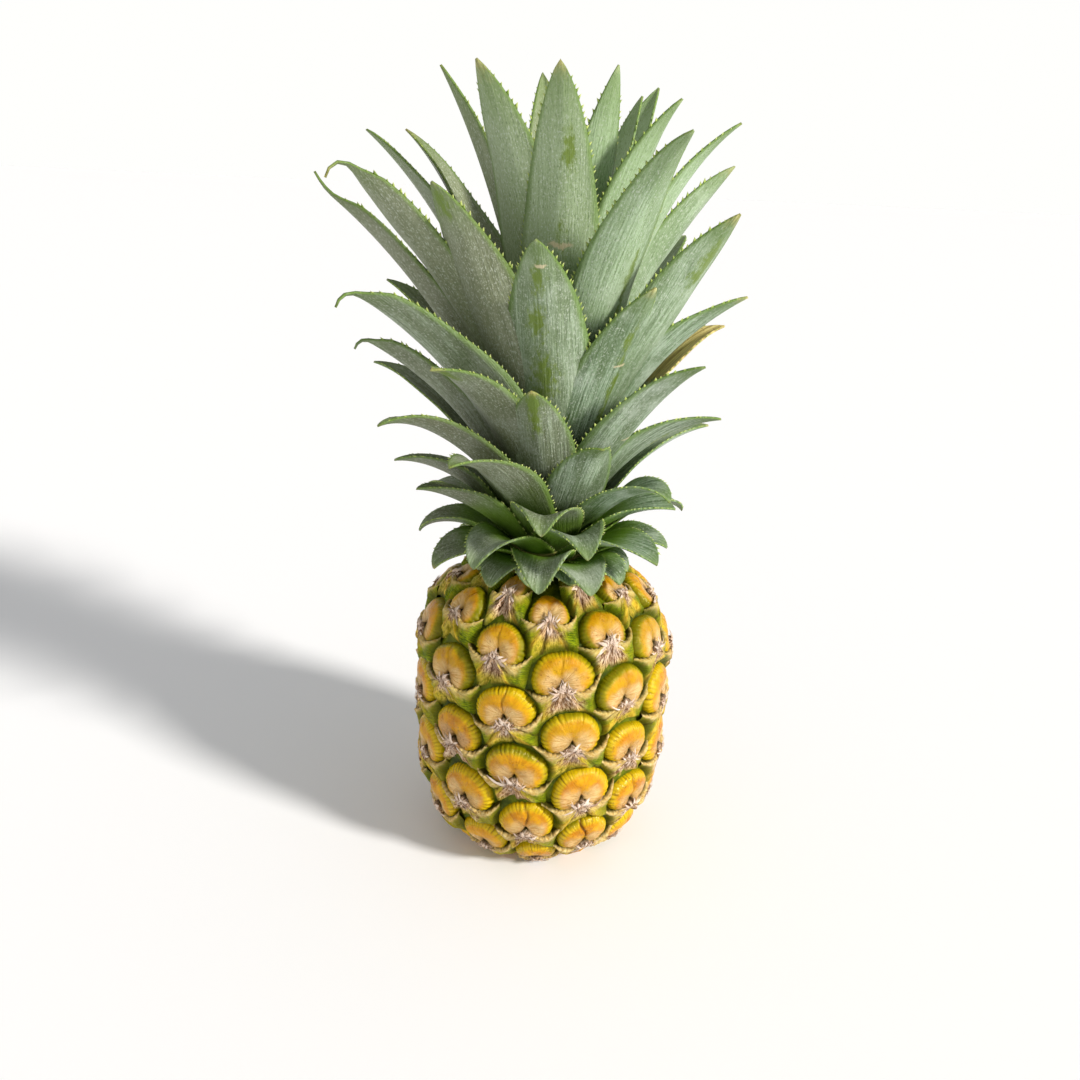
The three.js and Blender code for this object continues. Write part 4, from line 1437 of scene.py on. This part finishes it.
# %% Paint the leaves
def leaf_finish(name, outer):
    f = Finish(name, 0.5 if outer else 0.4)
    n = leaf_patterns(f)
    lines, dashes, fray, cloud = n["lines"], n["dashes"], n["fray"], n["cloud"]
    if outer:
        body = outer_skin(f, **n)
        root_colour = f.mix(f.read("basal"), colour(46, 58, 14), colour(108, 146, 16))
    else:
        body = inner_skin(f, lines, fray, n["speckle"], cloud)
        root_colour = f.mix(f.read("basal"), colour(48, 66, 12), colour(118, 164, 14))
    body = leaf_margins(f, body, root_colour, fray, cloud)
    body = leaf_dried(f, body, lines, dashes, fray, cloud)
    f.paint(leaf_scratched(f, body, fray))
    f.set_roughness(f.step(cloud, 0.3, 0.7, 0.42, 0.6) if outer else f.step(cloud, 0.3, 0.7, 0.4, 0.55))
    f.bump(f.plus(lines, f.times(dashes, 0.6)), 0.45 * MM, 0.9)
    f.shine(0.3 if outer else 0.14, (1.0, 0.97, 0.85, 1))
    return f.material


# %% Paint the teeth and the crown's stem
def tooth_finish():
    f = Finish("leaf_tooth", 0.5)
    tone, point = f.read("tone"), f.read("point")
    body = f.mix(tone, colour(180, 198, 104), colour(130, 158, 64))
    f.paint(f.coat(body, colour(214, 210, 150), point, 0.5, 1.0, 0.7))
    return f.material


def stem_finish():
    f = Finish("crown_stem_skin", 0.6)
    blotch = f.noise(f.place(), 150, 4)
    f.paint(f.mix(blotch, colour(104, 112, 40), colour(168, 162, 92)))
    f.bump(blotch, 0.5 * MM, 0.7)
    return f.material


leaf_inner_face = leaf_finish("leaf_inner_face", False)
leaf_outer_face = leaf_finish("leaf_outer_face", True)

# %% Give every piece its finish
for piece, finishes in (
    (lower_shields, [shield_rind]),
    (upper_shields, [shield_rind]),
    (bracts, [bract_skin]),
    (scales, [dry_husk]),
    (fibres, [dry_husk]),
    (rind, [groove_rind]),
    (scar, [cut_stalk]),
    (outer_leaves, [leaf_outer_face, leaf_inner_face]),
    (inner_leaves, [leaf_outer_face, leaf_inner_face]),
    (teeth, [tooth_finish()]),
    (stem, [stem_finish()]),
):
    piece.data.materials.clear()
    for finish in finishes:
        piece.data.materials.append(finish)

# %% [markdown]
# ## The stage
# The photograph has the fruit cut out on white, in soft daylight from its right. A pale floor, one soft key
# light from that side and an even surround, brighter near the horizon, give that here.

# %% Floor and key light
bpy.ops.mesh.primitive_plane_add(size=12, location=(0, 0, 0))
floor = named("floor")
floor_finish = Finish("pale_floor", 0.9)
floor_finish.shine(0.1)
floor_finish.paint(colour(250, 251, 255))
floor.data.materials.append(floor_finish.material)

KEY_FROM = Vector((0.9, -0.5, 0.58))
bpy.ops.object.light_add(type="SUN", location=KEY_FROM)
key_light = bpy.context.object
key_light.name = "key_light"
key_light.data.energy = 3.85
key_light.data.angle = math.radians(9)
key_light.data.color = (1.0, 0.96, 0.89)
key_light.rotation_euler = (-KEY_FROM).to_track_quat("-Z", "Y").to_euler()

# %% Surround, bright up to the first height and dim from the second
BRIGHT_BELOW = 0.1
DIM_ABOVE = 0.45
BRIGHT = 1.0
DIM = 0.42

surround = bpy.data.worlds.new("surround")
bpy.context.scene.world = surround
surround.use_nodes = True
sky = surround.node_tree
looking = sky.nodes.new("ShaderNodeTexCoord")
height_of = sky.nodes.new("ShaderNodeSeparateXYZ")
sky.links.new(looking.outputs["Generated"], height_of.inputs[0])
fade = sky.nodes.new("ShaderNodeMapRange")
fade.interpolation_type = "SMOOTHSTEP"
for value, socket in zip((BRIGHT_BELOW, DIM_ABOVE, BRIGHT, DIM), fade.inputs[1:5]):
    socket.default_value = value
sky.links.new(height_of.outputs["Z"], fade.inputs["Value"])
sky.links.new(fade.outputs["Result"], sky.nodes["Background"].inputs["Strength"])
sky.nodes["Background"].inputs["Color"].default_value = (1.0, 1.0, 0.98, 1)
print("sun and surround set")

# %% [markdown]
# ## Tie the pieces to the solids
# The finer pieces stand for the two solids of the imported model, which stay hidden and keep carrying its
# weight and contact.

# %% Ride on the root, and hide the solids they replace
for piece in (lower_shields, upper_shields, bracts, scales, fibres, rind, scar):
    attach(piece, "root")
    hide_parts("fruit")
for piece in (outer_leaves, inner_leaves, teeth, stem):
    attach(piece, "root")
    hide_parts("crown")
